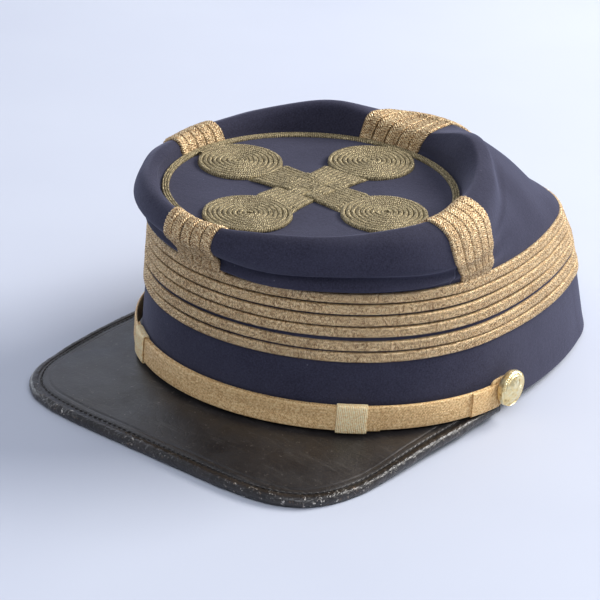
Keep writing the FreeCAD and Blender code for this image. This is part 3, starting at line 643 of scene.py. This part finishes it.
def crown_profile(turn, taut):
    """Control points of the cloth's section in a direction, from behind the lace to the top's edge.
    A taut section bridges the hollows of the wall, as the upright braids do."""
    base_turn = band_turn(turn)
    base = oval(base_turn, LACE_TOP, 0.1)
    crest_radius, crest_height = around(turn, CREST_RADIUS), around(turn, CREST_HEIGHT)
    outer_radius, outer_height = around(turn, OUTER_RADIUS), around(turn, OUTER_HEIGHT)
    outer = over_top(turn, outer_radius, outer_height)
    outward = np.stack([np.sin(turn), -np.cos(turn), 0.0 * turn], -1)
    bulge_at, fold_at, under_at = (around(turn, v)[..., None] for v in (BULGE_AT, FOLD_AT, UNDER_AT))
    line = outer - base
    run_out = (line * outward).sum(-1, keepdims=True)
    rise = line[..., 2:]
    normal = rise * outward - run_out * np.array([0.0, 0, 1])
    normal /= np.linalg.norm(normal, axis=-1, keepdims=True)

    def on_wall(share, offsets):
        offset = around(turn, offsets)[..., None]
        return base + share * line + (np.maximum(offset, 0) if taut else offset) * normal

    def on_roll(radius_share, height_share):
        return over_top(
            turn, crest_radius + (outer_radius - crest_radius) * radius_share,
            outer_height + (crest_height - outer_height) * height_share,
        )

    return np.stack([
        oval(base_turn, BAND_HEIGHT + 0.2, -0.1),
        oval(base_turn, (BAND_HEIGHT + LACE_TOP) / 2, -0.1),
        base,
        on_wall(bulge_at, BULGE),
        on_wall(fold_at, FOLD),
        on_wall(under_at, UNDER),
        outer,
        on_roll(0.71, 0.70),
        over_top(turn, crest_radius, crest_height),
        over_top(turn, crest_radius - 3.2, crest_height - 1.5),
        over_top(turn, TOP_RADIUS + 1.6, crest_height * 0.5),
        over_top(turn, TOP_RADIUS + 0.8, 0.8),
        over_top(turn, TOP_RADIUS - 0.3, -1.4),
    ])


def crown_plain(turn, climb, taut=False):
    """Cloth's surface without its small unevenness. climb goes from 0 behind the lace to 1."""
    turn, climb = np.broadcast_arrays(np.asarray(turn, float), np.asarray(climb, float))
    controls = crown_profile(turn.ravel(), taut)
    last = PROFILE_POINTS - 1
    at = np.clip(climb.ravel(), 0, 1) * last
    first = np.minimum(np.floor(at).astype(int), last - 1)
    each = np.arange(len(at))
    near = [controls[np.clip(first + step, 0, last), each] for step in (-1, 0, 1, 2)]
    return catmull(near, (at - first)[:, None]).reshape(turn.shape + (3,))


def crown_normal(turn, climb, taut=False):
    """Outward normal of the plain crown surface."""
    step = 1e-3
    round_it = crown_plain(turn + step, climb, taut) - crown_plain(turn - step, climb, taut)
    up_it = crown_plain(turn, climb + step, taut) - crown_plain(turn, climb - step, taut)
    normal = np.cross(round_it, up_it)
    return normal / np.maximum(np.linalg.norm(normal, axis=-1, keepdims=True), 1e-9)


ROW_TOP_CLIMB = 2 / (PROFILE_POINTS - 1)
BRAID_HALF, BRAID_PINCH = 13.0, 0.7
# A soft valley runs up the back left slope.
VALLEY_TURN, VALLEY_CLIMB, VALLEY_DEPTH = math.radians(138), 0.60, 1.2


def crown(turn, climb, taut=False):
    """Cloth's surface with its soft folds and, under the upright braids, a slight pinch."""
    turn, climb = np.broadcast_arrays(np.asarray(turn, float), np.asarray(climb, float))
    plain = crown_plain(turn, climb, taut)
    free = np.clip((climb - ROW_TOP_CLIMB) / 0.08, 0, 1) * np.clip((0.97 - climb) / 0.08, 0, 1)
    behind = 0.5 - 0.5 * np.cos(turn)
    waves = 0.35 * ripple(plain, 34, 5) + (0.3 + 0.5 * behind) * ripple(plain, 62, 8)
    distance = np.abs(np.angle(np.exp(4j * turn))) / 4 * TOP_RADIUS
    pinch = -BRAID_PINCH * bell(distance, 0, BRAID_HALF)
    valley = -VALLEY_DEPTH * bell(turn_from(turn, VALLEY_TURN), 0, 0.16)
    valley = valley * bell(climb, VALLEY_CLIMB, 0.10)
    return plain + crown_normal(turn, climb, taut) * ((waves + pinch + valley) * free)[..., None]


def crown_cloth():
    """The crown's four quarters: wall and roll in one cloth, joined under the upright braids."""
    climbs = np.linspace(0.0, 1.0, 131)
    for end, side, start in (("front", "left", 0), ("back", "left", 1), ("back", "right", 2),
                             ("front", "right", 3)):
        turns = (start + np.linspace(0, 1, 141 if end == "back" else 111)) * math.pi / 2
        points = crown(turns[:, None], climbs[None, :])
        run = lengths(points[:, 20])
        name = f"crown_{end}_{side}"
        patches = Patches().grid(points, along=run, across=climbs * 90)
        made = patches.piece(f"{name}_cloth", WOOL, "cap", name, slot="wool", solidify=1.4, flip=True)


def top_disc(radius, rise, wave, seed, rings=48, sectors=180):
    """Cloth over the crown's top, from a small hole at its centre to its edge."""
    radii = np.linspace(0.4, radius, rings)[None, :]
    turns = (np.arange(sectors) / sectors * TURN)[:, None]
    flat = over_top(turns, radii, 0.0)
    points = over_top(turns, radii, rise + wave * ripple(flat, 45, seed))
    return Patches().grid(points, ring=True, across=np.linspace(0.4, TOP_RADIUS + 0.6, rings),
                          along=np.arange(sectors + 1) * TURN * TOP_RADIUS / sectors)


def crown_top():
    """The sunk round top of the crown and the lining under it."""
    cloth = top_disc(TOP_RADIUS + 0.6, 0.0, 0.25, 11)
    cloth.piece("top_cloth", WOOL, "cap", "crown_top_cloth", slot="wool", solidify=1.4)
    under = top_disc(TOP_RADIUS - 0.4, -3.3, 0.15, 12)
    under.piece("top_lining_cloth", LINING, "cap", "top_lining", slot="lining", solidify=0.5)


def side_lining():
    """Lining gathered between the sweatband and the crown's top."""
    sectors, length = 420, 480
    turns = (np.arange(sectors) / sectors * TURN)[:, None]
    climbs = np.linspace(0, 1, 40)[None, :]
    base = band_turn(turns)
    low = oval(base, BAND_HEIGHT + 0.3, -CLOTH - 0.4)
    middle = oval(base, LACE_TOP, -CLOTH - 0.6)
    high = over_top(turns, TOP_RADIUS - 0.2, -3.9)
    lower = np.clip(climbs / 0.35, 0, 1)[..., None]
    upper = np.clip((climbs - 0.35) / 0.65, 0, 1)[..., None]
    points = low + (middle - low) * lower + (high - middle) * upper
    inward = points - TOP_CENTRE
    inward[..., 2] = 0
    inward /= -np.linalg.norm(inward, axis=-1, keepdims=True)
    gathers = 0.35 * (1 + np.sin(turns * 64 + 1.5 * np.sin(turns * 5))) * climbs * (1.05 - climbs) * 3
    points = points + inward * gathers[..., None]
    run = np.linspace(0, length, sectors + 1)
    patches = Patches().grid(points, ring=True, along=run, across=climbs[0] * 60)
    patches.piece("side_lining_cloth", LINING, "cap", "side_lining", slot="lining", solidify=0.4,
                  flip=True)


# ---- upright braids
STRANDS, STRAND_WIDTH, STRAND_PITCH = 5, 5.1, 5.05
BRAID_TOP_CLIMB = 0.93
BRAIDS = {
    # direction in degrees at the top and at the rows; share of the full width at the rows, the
    # middle and the top
    "front": (-3.0, -3.5, 0.78, 0.92, 1.0),
    "left": (90.0, 101.0, 0.70, 1.05, 0.92),
    "back": (187.0, 178.0, 1.1, 1.15, 1.12),
    "right": (268.0, 270.0, 0.85, 0.95, 1.0),
}
STRAND_GAPS = (0.0, 0.4, 1.25, 1.6, 1.9)    # sum of the gaps before each strand at the front


def upright_braids():
    """Five flat laces side by side over the roll, at the front, the left, the back and the right."""
    for name, (top_turn, row_turn, row_share, roll_share, top_share) in BRAIDS.items():
        patches = Patches()
        for strand in range(STRANDS):
            offset = (strand - (STRANDS - 1) / 2) * STRAND_PITCH
            if name == "front":
                offset += STRAND_GAPS[strand] - STRAND_GAPS[-1] / 2
            climbs = np.linspace(ROW_TOP_CLIMB - 0.012, BRAID_TOP_CLIMB, 400)

            def turn_at(climb, across, shift=offset):
                share = (climb - ROW_TOP_CLIMB) / (BRAID_TOP_CLIMB - ROW_TOP_CLIMB)
                share = np.clip(share, 0, 1)
                middle = np.radians(row_turn + (top_turn - row_turn) * share)
                flat = crown_plain(middle, climb, True) - TOP_CENTRE
                radius = np.hypot(flat[..., 0], flat[..., 1])
                spread = np.interp(share, (0.0, 0.5, 1.0), (row_share, roll_share, top_share))
                return middle + (shift + across) * spread / radius

            run = lengths(crown(turn_at(climbs, 0.0), climbs, True))
            even = evenly(run, LACE_PITCH)
            climbs = np.interp(even, run, climbs)

            def place(index, across, height):
                climb = climbs[index] + 0.0 * across
                turn = turn_at(climb, across)
                return crown(turn, climb, True) + crown_normal(turn, climb, True) * height[..., None]

            laid_lace(patches, place, even, STRAND_WIDTH, LACE, ribs=3, samples=13,
                      map_start=offset * 7)
        patches.piece(f"braid_{name}_laces", LACE_GOLD, "cap", f"braid_{name}", slot="gold_lace")


# ---- ring braid and knot
def ring_braid():
    """Three fine cords round the edge of the top."""
    patches = Patches()
    inset, spacing, pitch = 0.6, 0.98, 1.1
    for number in range(3):
        radius = TOP_RADIUS - inset - spacing * number
        count = 4 * round(TURN * radius / pitch)
        turns = np.arange(count + 1) / count * TURN
        run = turns * radius

        def place(index, across, height):
            return over_top(turns[index] + 0.0 * across, radius + across, height + 0.1)

        laid_lace(patches, place, run, 1.0, 1.1, ribs=1, samples=7, pitch=pitch, relief=0.08,
                  ring=True)
    patches.piece("ring_cords", CORD_GOLD, "cap", "ring_braid", slot="gold_cord")


def knot_coils():
    """Four flat spirals of cord round the middle of the top."""
    pitch = 1.0
    start = 0.6
    for number, place_name in enumerate(("front", "left", "back", "right")):
        direction = number * math.pi / 2
        centre = over_top(direction, COIL_DISTANCE, 0.0)
        ends = COIL_RADIUS - CORD / 2
        fine = np.linspace(0, TURN * (ends - start) / CORD, 3000)
        radius = start + CORD * fine / TURN
        run = lengths(np.stack([radius * np.cos(fine), radius * np.sin(fine)], 1))
        even = evenly(run, pitch)
        angles = np.interp(even, run, fine)
        phase = direction - angles[-1] + 0.25
        uneven = 0.10 * np.sin(angles * 3.1 + number)

        def place(index, across, height):
            angle = angles[index] + 0.0 * across
            out = start + CORD * angle / TURN + across + uneven[index]
            side = np.stack([np.sin(angle + phase), -np.cos(angle + phase)], -1)
            dome = 0.35 * (1 - (out / COIL_RADIUS) ** 2)
            return (centre + (side[..., :1] * ACROSS_TOP + side[..., 1:] * ALONG_TOP)
                    * out[..., None] + (height + dome + 0.15)[..., None] * OUT_OF_TOP)

        patches = Patches()
        laid_lace(patches, place, even, CORD * 1.02, 1.5, ribs=1, samples=8, pitch=pitch, relief=0.08)
        name = f"knot_coil_{place_name}"
        patches.piece(f"{name}_cord", CORD_GOLD, "cap", name, slot="gold_cord")


def knot_centre():
    """Two bands of ten cords that cross, in groups that go over and under each other."""
    cords = 10
    pitch = 1.1
    groups = np.array([0, 0, 0, 1, 1, 1, 1, 2, 2, 2])
    offsets = (np.arange(cords) - (cords - 1) / 2) * CORD
    edges = (-5 * CORD, -2 * CORD, 2 * CORD, 5 * CORD)
    reach = COIL_DISTANCE - 9.0
    patches = Patches()
    for arm in (0, 1):
        for cord in range(cords):
            count = 4 * round(2 * reach / pitch)
            even = np.linspace(-reach, reach, count + 1)
            over = np.zeros(count + 1)
            for group in range(3):
                sign = 1 if (groups[cord] + group + arm) % 2 else -1
                inside = np.clip((even - edges[group]) / 1.5 + 0.5, 0, 1)
                inside *= np.clip((edges[group + 1] - even) / 1.5 + 0.5, 0, 1)
                over += sign * inside
            sunk = 1.2 * np.clip((np.abs(even) - (COIL_DISTANCE - COIL_RADIUS + 1)) / 3, 0, 1)
            sway = 0.5 * np.sin(even / 9 + cord * 0.8 + arm) * bell(even, 0, 14)
            swell = 0.92 + 0.25 * (np.abs(even) / reach) ** 2
            rise = 0.25 + 0.45 * over - sunk

            def place(index, across, height):
                along = even[index] + 0.0 * across
                turn = 1 if arm == 0 else -1
                aside = (offsets[cord] + sway[index]) * swell[index] + turn * across
                x, y = (aside, along) if arm == 0 else (along, aside)
                return (TOP_CENTRE + x[..., None] * ACROSS_TOP + y[..., None] * ALONG_TOP
                        + (height + rise[index])[..., None] * OUT_OF_TOP)

            laid_lace(patches, place, even + reach, CORD * 1.08, 1.35, ribs=1, samples=8, pitch=pitch,
                      relief=0.08)
    patches.piece("knot_centre_cords", CORD_GOLD, "cap", "knot_centre", slot="gold_cord")


# ---- band, sweatband and tape
def band_shell(name, material, node, slot, low, high, outer, inner, wave, seed, hem=0.7, seam=0.0):
    """Upright cloth or leather strip round the oval, with rounded edges."""
    turns, run = even_turns(640, low)
    steps = 26
    levels = np.linspace(low + hem, high - hem, steps)
    bend = np.linspace(0, math.pi, 8)[1:-1]
    middle, half = (outer + inner) / 2, (outer - inner) / 2
    outsets = np.concatenate([np.full(steps, outer), middle + half * np.cos(bend),
                              np.full(steps, inner), middle - half * np.cos(bend)])
    heights = np.concatenate([levels, high - hem + hem * np.sin(bend), levels[::-1],
                              low + hem - hem * np.sin(bend)])
    turn = turns[:-1, None]
    flat = oval(turn + 0 * heights, 0.0)
    flat[..., 2] = heights
    uneven = wave * ripple(flat, 55, seed)
    groove = seam * bell(turn_from(turn, math.pi) * BACK_RADIUS, 0, 0.5)
    edge = np.clip((heights - low) / 6, 0.2, 1)
    points = oval(turn + 0 * heights, heights[None, :] + 0 * turn, outsets + uneven * edge - groove)
    patches = Patches().grid(points, ring=True, tube=True, along=run,
                             across=np.concatenate([heights, heights[:1]]))
    return patches.piece(name, material, "cap", node, slot=slot, flip=True)


def inside_and_band():
    """The band's cloth, the sweatband inside it and the tape along the sweatband's lower edge."""
    band_shell("band_wool", WOOL, "band_cloth", "wool", 0.0, BAND_HEIGHT + 0.4, 0.0, -CLOTH, 0.22,
               31, seam=0.5)
    inner = -CLOTH - STIFFENER
    near, far = inner - 0.05, inner - 1.2
    band_shell("sweatband_skin", SWEAT_LEATHER, "sweatband", "sweatband_leather", 5.0, 36.0,
               near, far, 0.15, 32, hem=0.5)
    band_shell("sweatband_tape_weave", TAPE, "sweatband_tape", "tape", 1.0, 5.1,
               near, far, 0.05, 33, hem=0.4)


# ---- visor
STITCH_LINE = BINDING_WIDTH + 1.3


def visor_edge(x, y):
    """Point of the visor's free edge, which lies level where the visor is full length."""
    from_band = np.hypot(x, y + FRONT_CENTRE) - HALF_WIDTH
    share = np.clip(from_band / (VISOR_FRONT - FRONT_CENTRE - HALF_WIDTH), 0, 1) ** 0.8
    slope = SLOPE_SIN / SLOPE_COS
    return np.stack([x, y, -(VISOR_DROP - slope * (y + VISOR_FRONT)) * share], -1)


def visor_sections(count, with_sides=True):
    """The visor's sections, evenly spaced from the wearer's right to left: points of the edge, the
    way from there to the root, its length, and distances along the edge."""
    power = 2 / VISOR_EXPONENT
    angle = np.linspace(-math.pi / 2, math.pi / 2, 2001)
    x = VISOR_HALF_WIDTH * np.sign(angle) * np.abs(np.sin(angle)) ** power
    y = -VISOR_SHOULDER - (VISOR_FRONT - VISOR_SHOULDER) * np.maximum(np.cos(angle), 0) ** power
    if with_sides:
        back = np.linspace(-BUTTON_AHEAD, -VISOR_SHOULDER, 60)[:-1]
        share = (back + VISOR_SHOULDER) / (VISOR_SHOULDER - BUTTON_AHEAD)
        side = VISOR_HALF_WIDTH - 2.0 * share
        x = np.concatenate([-side, x, side[::-1]])
        y = np.concatenate([back, y, back[::-1]])
    edge = visor_edge(x, y)
    run = lengths(edge)
    at = np.linspace(0, run[-1], count)
    edge = resampled(edge, run, at)
    angle = np.arctan2(edge[:, 0], -(edge[:, 1] + FRONT_CENTRE))
    to_root = np.stack([*front_arc(angle, HALF_WIDTH - CLOTH - STIFFENER), 0 * angle - 0.05], 1)
    to_root -= edge
    return edge, to_root, np.linalg.norm(to_root, axis=1)[:, None], at


def visor_skin(name, material, node, slot, rise, thickness, wave, seed, lines=()):
    """One face of the visor, with grooves at the distances and depths that lines gives."""
    edge, to_root, reach, run = visor_sections(420)
    share = np.linspace(0, 1, 90)[None, :] ** 1.25
    inward = BINDING_SKIN + 0.05 + (reach - BINDING_SKIN - 0.05) * share
    points = edge[:, None] + to_root[:, None] * (inward / reach)[..., None]
    lift = wave * ripple(points, 38, seed) * np.clip(inward / 8, 0, 1) * np.clip((1 - share) * 5, 0, 1)
    for distance, depth in lines:
        lift = lift - depth * bell(inward, distance, 0.45)
    points[..., 2] += rise + lift
    patches = Patches().grid(points, along=run, across=share[0] * 40)
    patches.piece(name, material, "cap", node, slot=slot, solidify=thickness, flip=rise > -1)


def visor_binding():
    """Leather strip folded over the visor's free edge."""
    edge, to_root, reach, run = visor_sections(700)
    half = VISOR_THICKNESS / 2 + BINDING_SKIN
    bend = np.linspace(-math.pi / 2, math.pi / 2, 15)
    nose = 1.7
    outer_in = np.concatenate([[BINDING_WIDTH], nose - nose * np.cos(bend), [BINDING_WIDTH]])
    outer_z = np.concatenate([[-(half - 0.1)], half * np.sin(bend), [half - 0.1]])
    inner_in = np.array([BINDING_WIDTH + 0.15, 1.2, 0.6, 0.6, 1.2, BINDING_WIDTH + 0.15])
    inner_z = half - np.array([0.5, 0.52, 0.9])
    inner_z = np.concatenate([inner_z, -inner_z[::-1]])
    inward = np.concatenate([outer_in, inner_in])[None, :]
    rise = np.concatenate([outer_z, inner_z])[None, :] - VISOR_THICKNESS / 2
    along = run[:, None]
    beads = np.stack(np.broadcast_arrays(along, rise * 2, 0 * along), -1)
    puff = 0.12 * ripple(beads, 11, 51) + 0.08 * ripple(beads, 4, 52)
    inward = inward - puff * (inward < 1.0)
    share = np.clip(inward / reach, -1, 0.9)
    points = edge[:, None] + to_root[:, None] * share[..., None]
    points[..., 2] += rise + 0.10 * ripple(beads, 7, 53) * (inward > 0.5)
    patches = Patches().grid(points, tube=True, caps=True, along=run,
                             across=np.arange(inward.shape[1] + 1.0))
    patches.piece("visor_bound_edge", BINDING_LEATHER, "cap", "visor_binding", slot="visor_leather",
                  flip=True)


def visor_stitches():
    """Row of small stitches just inside the binding."""
    spacing, long, thick = 2.6, 1.9, 0.42
    edge, to_root, reach, _ = visor_sections(2400, with_sides=False)
    line = edge + to_root * (STITCH_LINE / reach)
    line[:, 2] += 0.1
    at = lengths(line)
    patches = Patches()
    ring = np.linspace(0, TURN, 7)[:-1]
    for start in np.arange(1.0, at[-1] - long, spacing):
        steps = start + np.linspace(0, long, 7)
        centre = resampled(line, at, steps)
        forward = centre[-1] - centre[0]
        forward /= np.linalg.norm(forward)
        aside = np.cross(forward, [0.0, 0, 1])
        aside /= np.linalg.norm(aside)
        girth = np.sin(np.linspace(0.12, math.pi - 0.12, 7)) ** 0.5 * thick
        centre[:, 2] += girth * 0.5 - 0.15
        points = (centre[:, None] + np.cos(ring)[None, :, None] * aside * girth[:, None, None]
                  + np.sin(ring)[None, :, None] * np.array([0.0, 0, 1]) * girth[:, None, None] * 0.8)
        patches.grid(points, tube=True, caps=True)
    patches.piece("visor_stitches", THREAD, "cap", "visor_stitching", slot="thread", flip=True)


def visor():
    """The visor's two faces, its bound edge and the stitches."""
    lines = ((STITCH_LINE, 0.3), (BINDING_WIDTH + 4.4, 0.22))
    visor_skin("visor_top_leather", VISOR_LEATHER, "visor_top", "visor_leather",
               0.05, 0.8, 0.32, 61, lines)
    visor_skin("visor_under_leather", UNDER_LEATHER, "visor_lining", "visor_underside",
               -VISOR_THICKNESS, 0.7, 0.10, 62)
    visor_binding()
    visor_stitches()


# ---- chin strap
STRAP_MIDDLE = STRAP_BOTTOM + STRAP_WIDTH / 2


def strap_strip(patches, sign, begin, finish, tail, radius):
    """Flat lace on the front arc between two angles, measured towards a side, with a straight tail."""
    pitch = 1.6
    arc = math.radians(finish - begin) * STRAP_RADIUS
    length = arc + tail
    even = np.linspace(0, length, max(8, round(length / (pitch / 4))) + 1)

    def place(index, across, height):
        run = even[index] + 0.0 * across
        angle = math.radians(begin) + np.minimum(run, arc) / STRAP_RADIUS
        x, y = front_arc(angle, radius + height)
        return np.stack([sign * x, y + np.maximum(run - arc, 0), STRAP_MIDDLE + across + 0 * x], -1)

    laid_lace(patches, place, even, STRAP_WIDTH - 0.1, STRAP_LAYER - 0.06, ribs=9, samples=28,
              pitch=pitch, relief=0.05)


def strap_tab(patches, sign, radius):
    """Strap's end round the button's shank: a rounded plate with a hole."""
    sectors = 72
    angles = np.linspace(0, TURN, sectors + 1)[:-1]
    low, high = STRAP_BOTTOM + 0.1, BUTTON_HEIGHT + 4.4
    ahead, behind = -FRONT_CENTRE - 3.0, -BUTTON_AHEAD + 5.0
    half_z, half_y = (high - low) / 2, (behind - ahead) / 2
    squared = squircle(angles, 5)
    outer_y = (ahead + behind) / 2 + half_y * squared * np.cos(angles)
    outer_z = (low + high) / 2 + half_z * squared * np.sin(angles)
    hole = SHANK_RADIUS + 0.5
    inner_y = -BUTTON_AHEAD + hole * np.cos(angles)
    inner_z = BUTTON_HEIGHT + hole * np.sin(angles)
    shares = np.array([0, 0.15, 0.5, 0.85, 1.0, 1.0, 0.5, 0.0])
    faces = np.array([0.7, 1, 1, 1, 0.7, 0.0, 0.0, 0.0]) * (STRAP_LAYER - 0.1)
    y = inner_y[:, None] + (outer_y - inner_y)[:, None] * shares
    z = inner_z[:, None] + (outer_z - inner_z)[:, None] * shares
    points = np.stack([sign * (radius + faces + 0 * y), y, z], -1)
    patches.grid(points, ring=True, tube=True, along=np.arange(sectors + 1) * 0.5,
                 across=np.arange(len(shares) + 1) * 1.2)


def chin_strap():
    """The strap's two halves: each has its long lace, a short fold at its end, and a tab."""
    outer_radius = STRAP_RADIUS + STRAP_LAYER + STRAP_GAP
    for name, sign, radius, fold_radius, far_keeper in (
        ("strap_left", 1, STRAP_RADIUS, outer_radius, "right"),
        ("strap_right", -1, outer_radius, STRAP_RADIUS, "left"),
    ):
        patches = Patches()
        begin = -KEEPER_ANGLES[far_keeper] - OVERLAP_PAST_KEEPER
        strap_strip(patches, sign, begin, 90, 3.0, radius)
        strap_strip(patches, sign, 80, 90, 2.5, fold_radius)
        strap_tab(patches, sign, radius)
        patches.piece(f"{name}_lace", STRAP_GOLD, "chin_strap", name, slot="gold_lace", flip=sign > 0)


def keepers():
    """Sleeves of wrapped gold thread that slide along the strap."""
    half = KEEPER_LENGTH / STRAP_RADIUS / 2
    inner = STRAP_RADIUS - KEEPER_PLAY
    outer = STRAP_RADIUS + 2 * STRAP_LAYER + STRAP_GAP + KEEPER_PLAY
    middle_radius, half_depth = (inner + outer) / 2, (outer - inner) / 2 + KEEPER_WALL * 0.7
    half_height = STRAP_WIDTH / 2 + KEEPER_PLAY + 0.28
    relief, wrap_pitch = 0.03, 0.8
    around_it = np.arange(96) / 96 * TURN
    squared = squircle(around_it, 6)
    depth = half_depth * squared * np.cos(around_it)
    height = half_height * squared * np.sin(around_it)
    share = np.linspace(-1, 1, 61)[:, None]
    threads = share * KEEPER_LENGTH / 2 / wrap_pitch + height[None, :] * 0.02
    threads = relief * np.sin(TURN * threads)
    edge = 1 - 0.25 * np.abs(share) ** 12
    out = middle_radius + depth[None, :] * edge + threads * np.sign(depth)[None, :]
    run = (share[:, 0] + 1) * KEEPER_LENGTH / 2
    wrap = np.cumsum(np.hypot(np.diff(depth, prepend=depth[-1]),
                              np.diff(height, prepend=height[-1])))
    wrap = np.concatenate([wrap, [wrap[-1] + 0.4]])
    for side, sign in SIDES:
        angle = sign * math.radians(KEEPER_ANGLES[side]) + share * half
        points = np.stack([*front_arc(angle, out), STRAP_MIDDLE + height[None, :] + 0 * out], -1)
        patches = Patches().grid(points, tube=True, along=run, across=wrap)
        name = f"keeper_{side}"
        patches.piece(f"{name}_sleeve", KEEPER_GOLD, name, name, slot="gold_lace", solidify=0.5,
                      flip=True)


# ---- buttons
PETALS, BEADS = 8, 40


def button_dome(side, sign):
    """Domed face: a beaded rim round a plain rosette."""
    start = STRAP_RADIUS + 2 * STRAP_LAYER + BUTTON_GAP + BUTTON_BACK
    angles = np.arange(320) / 320 * TURN
    radii = np.concatenate([np.linspace(0.02, 0.94, 70), np.linspace(0.945, 1.0, 10)])[None, :]
    ball = (BUTTON_RADIUS**2 + BUTTON_DOME**2) / (2 * BUTTON_DOME)
    face = np.sqrt(ball**2 - (radii * BUTTON_RADIUS * 0.98) ** 2) - ball + BUTTON_DOME
    petals = np.abs(np.cos(angles[:, None] * PETALS / 2)) ** 0.5
    leaf = 0.34 * petals * bell(radii, 0.40, 0.20)
    boss = 0.42 * bell(radii, 0.0, 0.12)
    line = 0.22 * bell(radii, 0.74, 0.025)
    beads = 0.30 * np.abs(np.sin(angles[:, None] * BEADS / 2)) * bell(radii, 0.86, 0.045)
    rolled = 0.55 * bell(radii, 0.975, 0.03)
    fall = 1.1 * np.clip((radii - 0.97) / 0.03, 0, 1)
    height = 0.8 + 0.86 * face + leaf + boss + line + beads + rolled - fall
    out_y = radii * BUTTON_RADIUS * np.cos(angles)[:, None]
    out_z = radii * BUTTON_RADIUS * np.sin(angles)[:, None]
    front = np.stack([sign * (start + height), sign * out_y - BUTTON_AHEAD,
                      out_z + BUTTON_HEIGHT], -1)
    back = np.stack([0 * out_y[:, :2] + sign * start, sign * out_y[:, [-1, 0]] - BUTTON_AHEAD,
                     out_z[:, [-1, 0]] + BUTTON_HEIGHT], -1)
    points = np.concatenate([front, back], 1)
    name = f"button_{side}_dome"
    patches = Patches().grid(points, ring=True, tube=True)
    patches.piece(f"{name}_face", GILT, f"button_{side}", name, slot="gilt_brass")


# ---- everything in place
VIEW_MATRIX = make_camera()
lace_rows()
crown_cloth()
crown_top()
side_lining()
upright_braids()
ring_braid()
knot_coils()
knot_centre()
inside_and_band()
visor()
chin_strap()
keepers()
CAD_FINISHES = {"band_stiffener": BUCKRAM, "visor_core": BOARD, "top_board": BOARD}
for side, sign in SIDES:
    button_dome(side, sign)
    for node in (f"button_{side}_back", f"button_{side}_pin", f"eyelet_{side}"):
        CAD_FINISHES[node] = GILT
for name, material in CAD_FINISHES.items():
    for material_slot in frame["nodes"][name].material_slots:
        material_slot.material = material


# ---- stage and lights
def stage():
    """Pale floor that curves up into a backdrop."""
    reach, depth, radius, top = 2500, 1400, 700, 3200
    across = np.linspace(-reach, reach, 21)
    flat = np.linspace(-reach, depth, 30)
    bend = np.linspace(0, math.pi / 2, 16)[1:]
    out = np.concatenate([flat, depth + radius * np.sin(bend), [depth + radius] * 2])
    high = np.concatenate([0 * flat, radius - radius * np.cos(bend), [1500, top]])
    away = -np.array(VIEW_MATRIX.col[2][:2])
    away /= np.linalg.norm(away)
    aside = np.array([away[1], -away[0]])
    points = np.stack([
        out[:, None] * away[0] + across[None, :] * aside[0],
        out[:, None] * away[1] + across[None, :] * aside[1],
        high[:, None] + 0 * across[None, :],
    ], -1) * MM
    rows, columns = points.shape[:2]
    faces = [
        (r * columns + c, r * columns + c + 1, (r + 1) * columns + c + 1, (r + 1) * columns + c)
        for r in range(rows - 1) for c in range(columns - 1)
    ]
    mesh_object("floor", points.reshape(-1, 3), faces, studio_floor())


LAMPS = (
    # name, place along the camera's axes in metres, width, height, power and colour
    ("key", (1.15, 0.95, 0.0), 0.9, 0.6, 27, (1.0, 0.98, 0.95)),
    ("window", (-1.3, 0.65, -0.9), 1.5, 1.0, 12, (0.86, 0.92, 1.0)),
    ("fill", (0.2, 0.7, 1.6), 1.4, 0.8, 11, (0.92, 0.95, 1.0)),
    ("top", (0.0, 1.6, -0.6), 1.2, 1.2, 3, (0.97, 0.98, 1.0)),
)

stage()
for name, place, width, height, power, colour in LAMPS:
    lamp = bpy.data.lights.new(name, "AREA")
    lamp.shape = "RECTANGLE"
    lamp.size, lamp.size_y = width, height
    lamp.energy, lamp.color = power, colour
    place = VIEW_MATRIX.to_3x3() @ Vector(place)
    facing = place.to_track_quat("Z", "Y").to_matrix().to_4x4()
    made = bpy.data.objects.new(name, lamp)
    made.matrix_world = Matrix.Translation(place) @ facing
    scene.collection.objects.link(made)
world = bpy.data.worlds.new("studio")
scene.world = world
world.use_nodes = True
background = next(n for n in world.node_tree.nodes if n.type == "BACKGROUND")
background.inputs["Color"].default_value = (0.80, 0.86, 1.0, 1.0)
background.inputs["Strength"].default_value = 0.36
scene.view_settings.view_transform = "Standard"
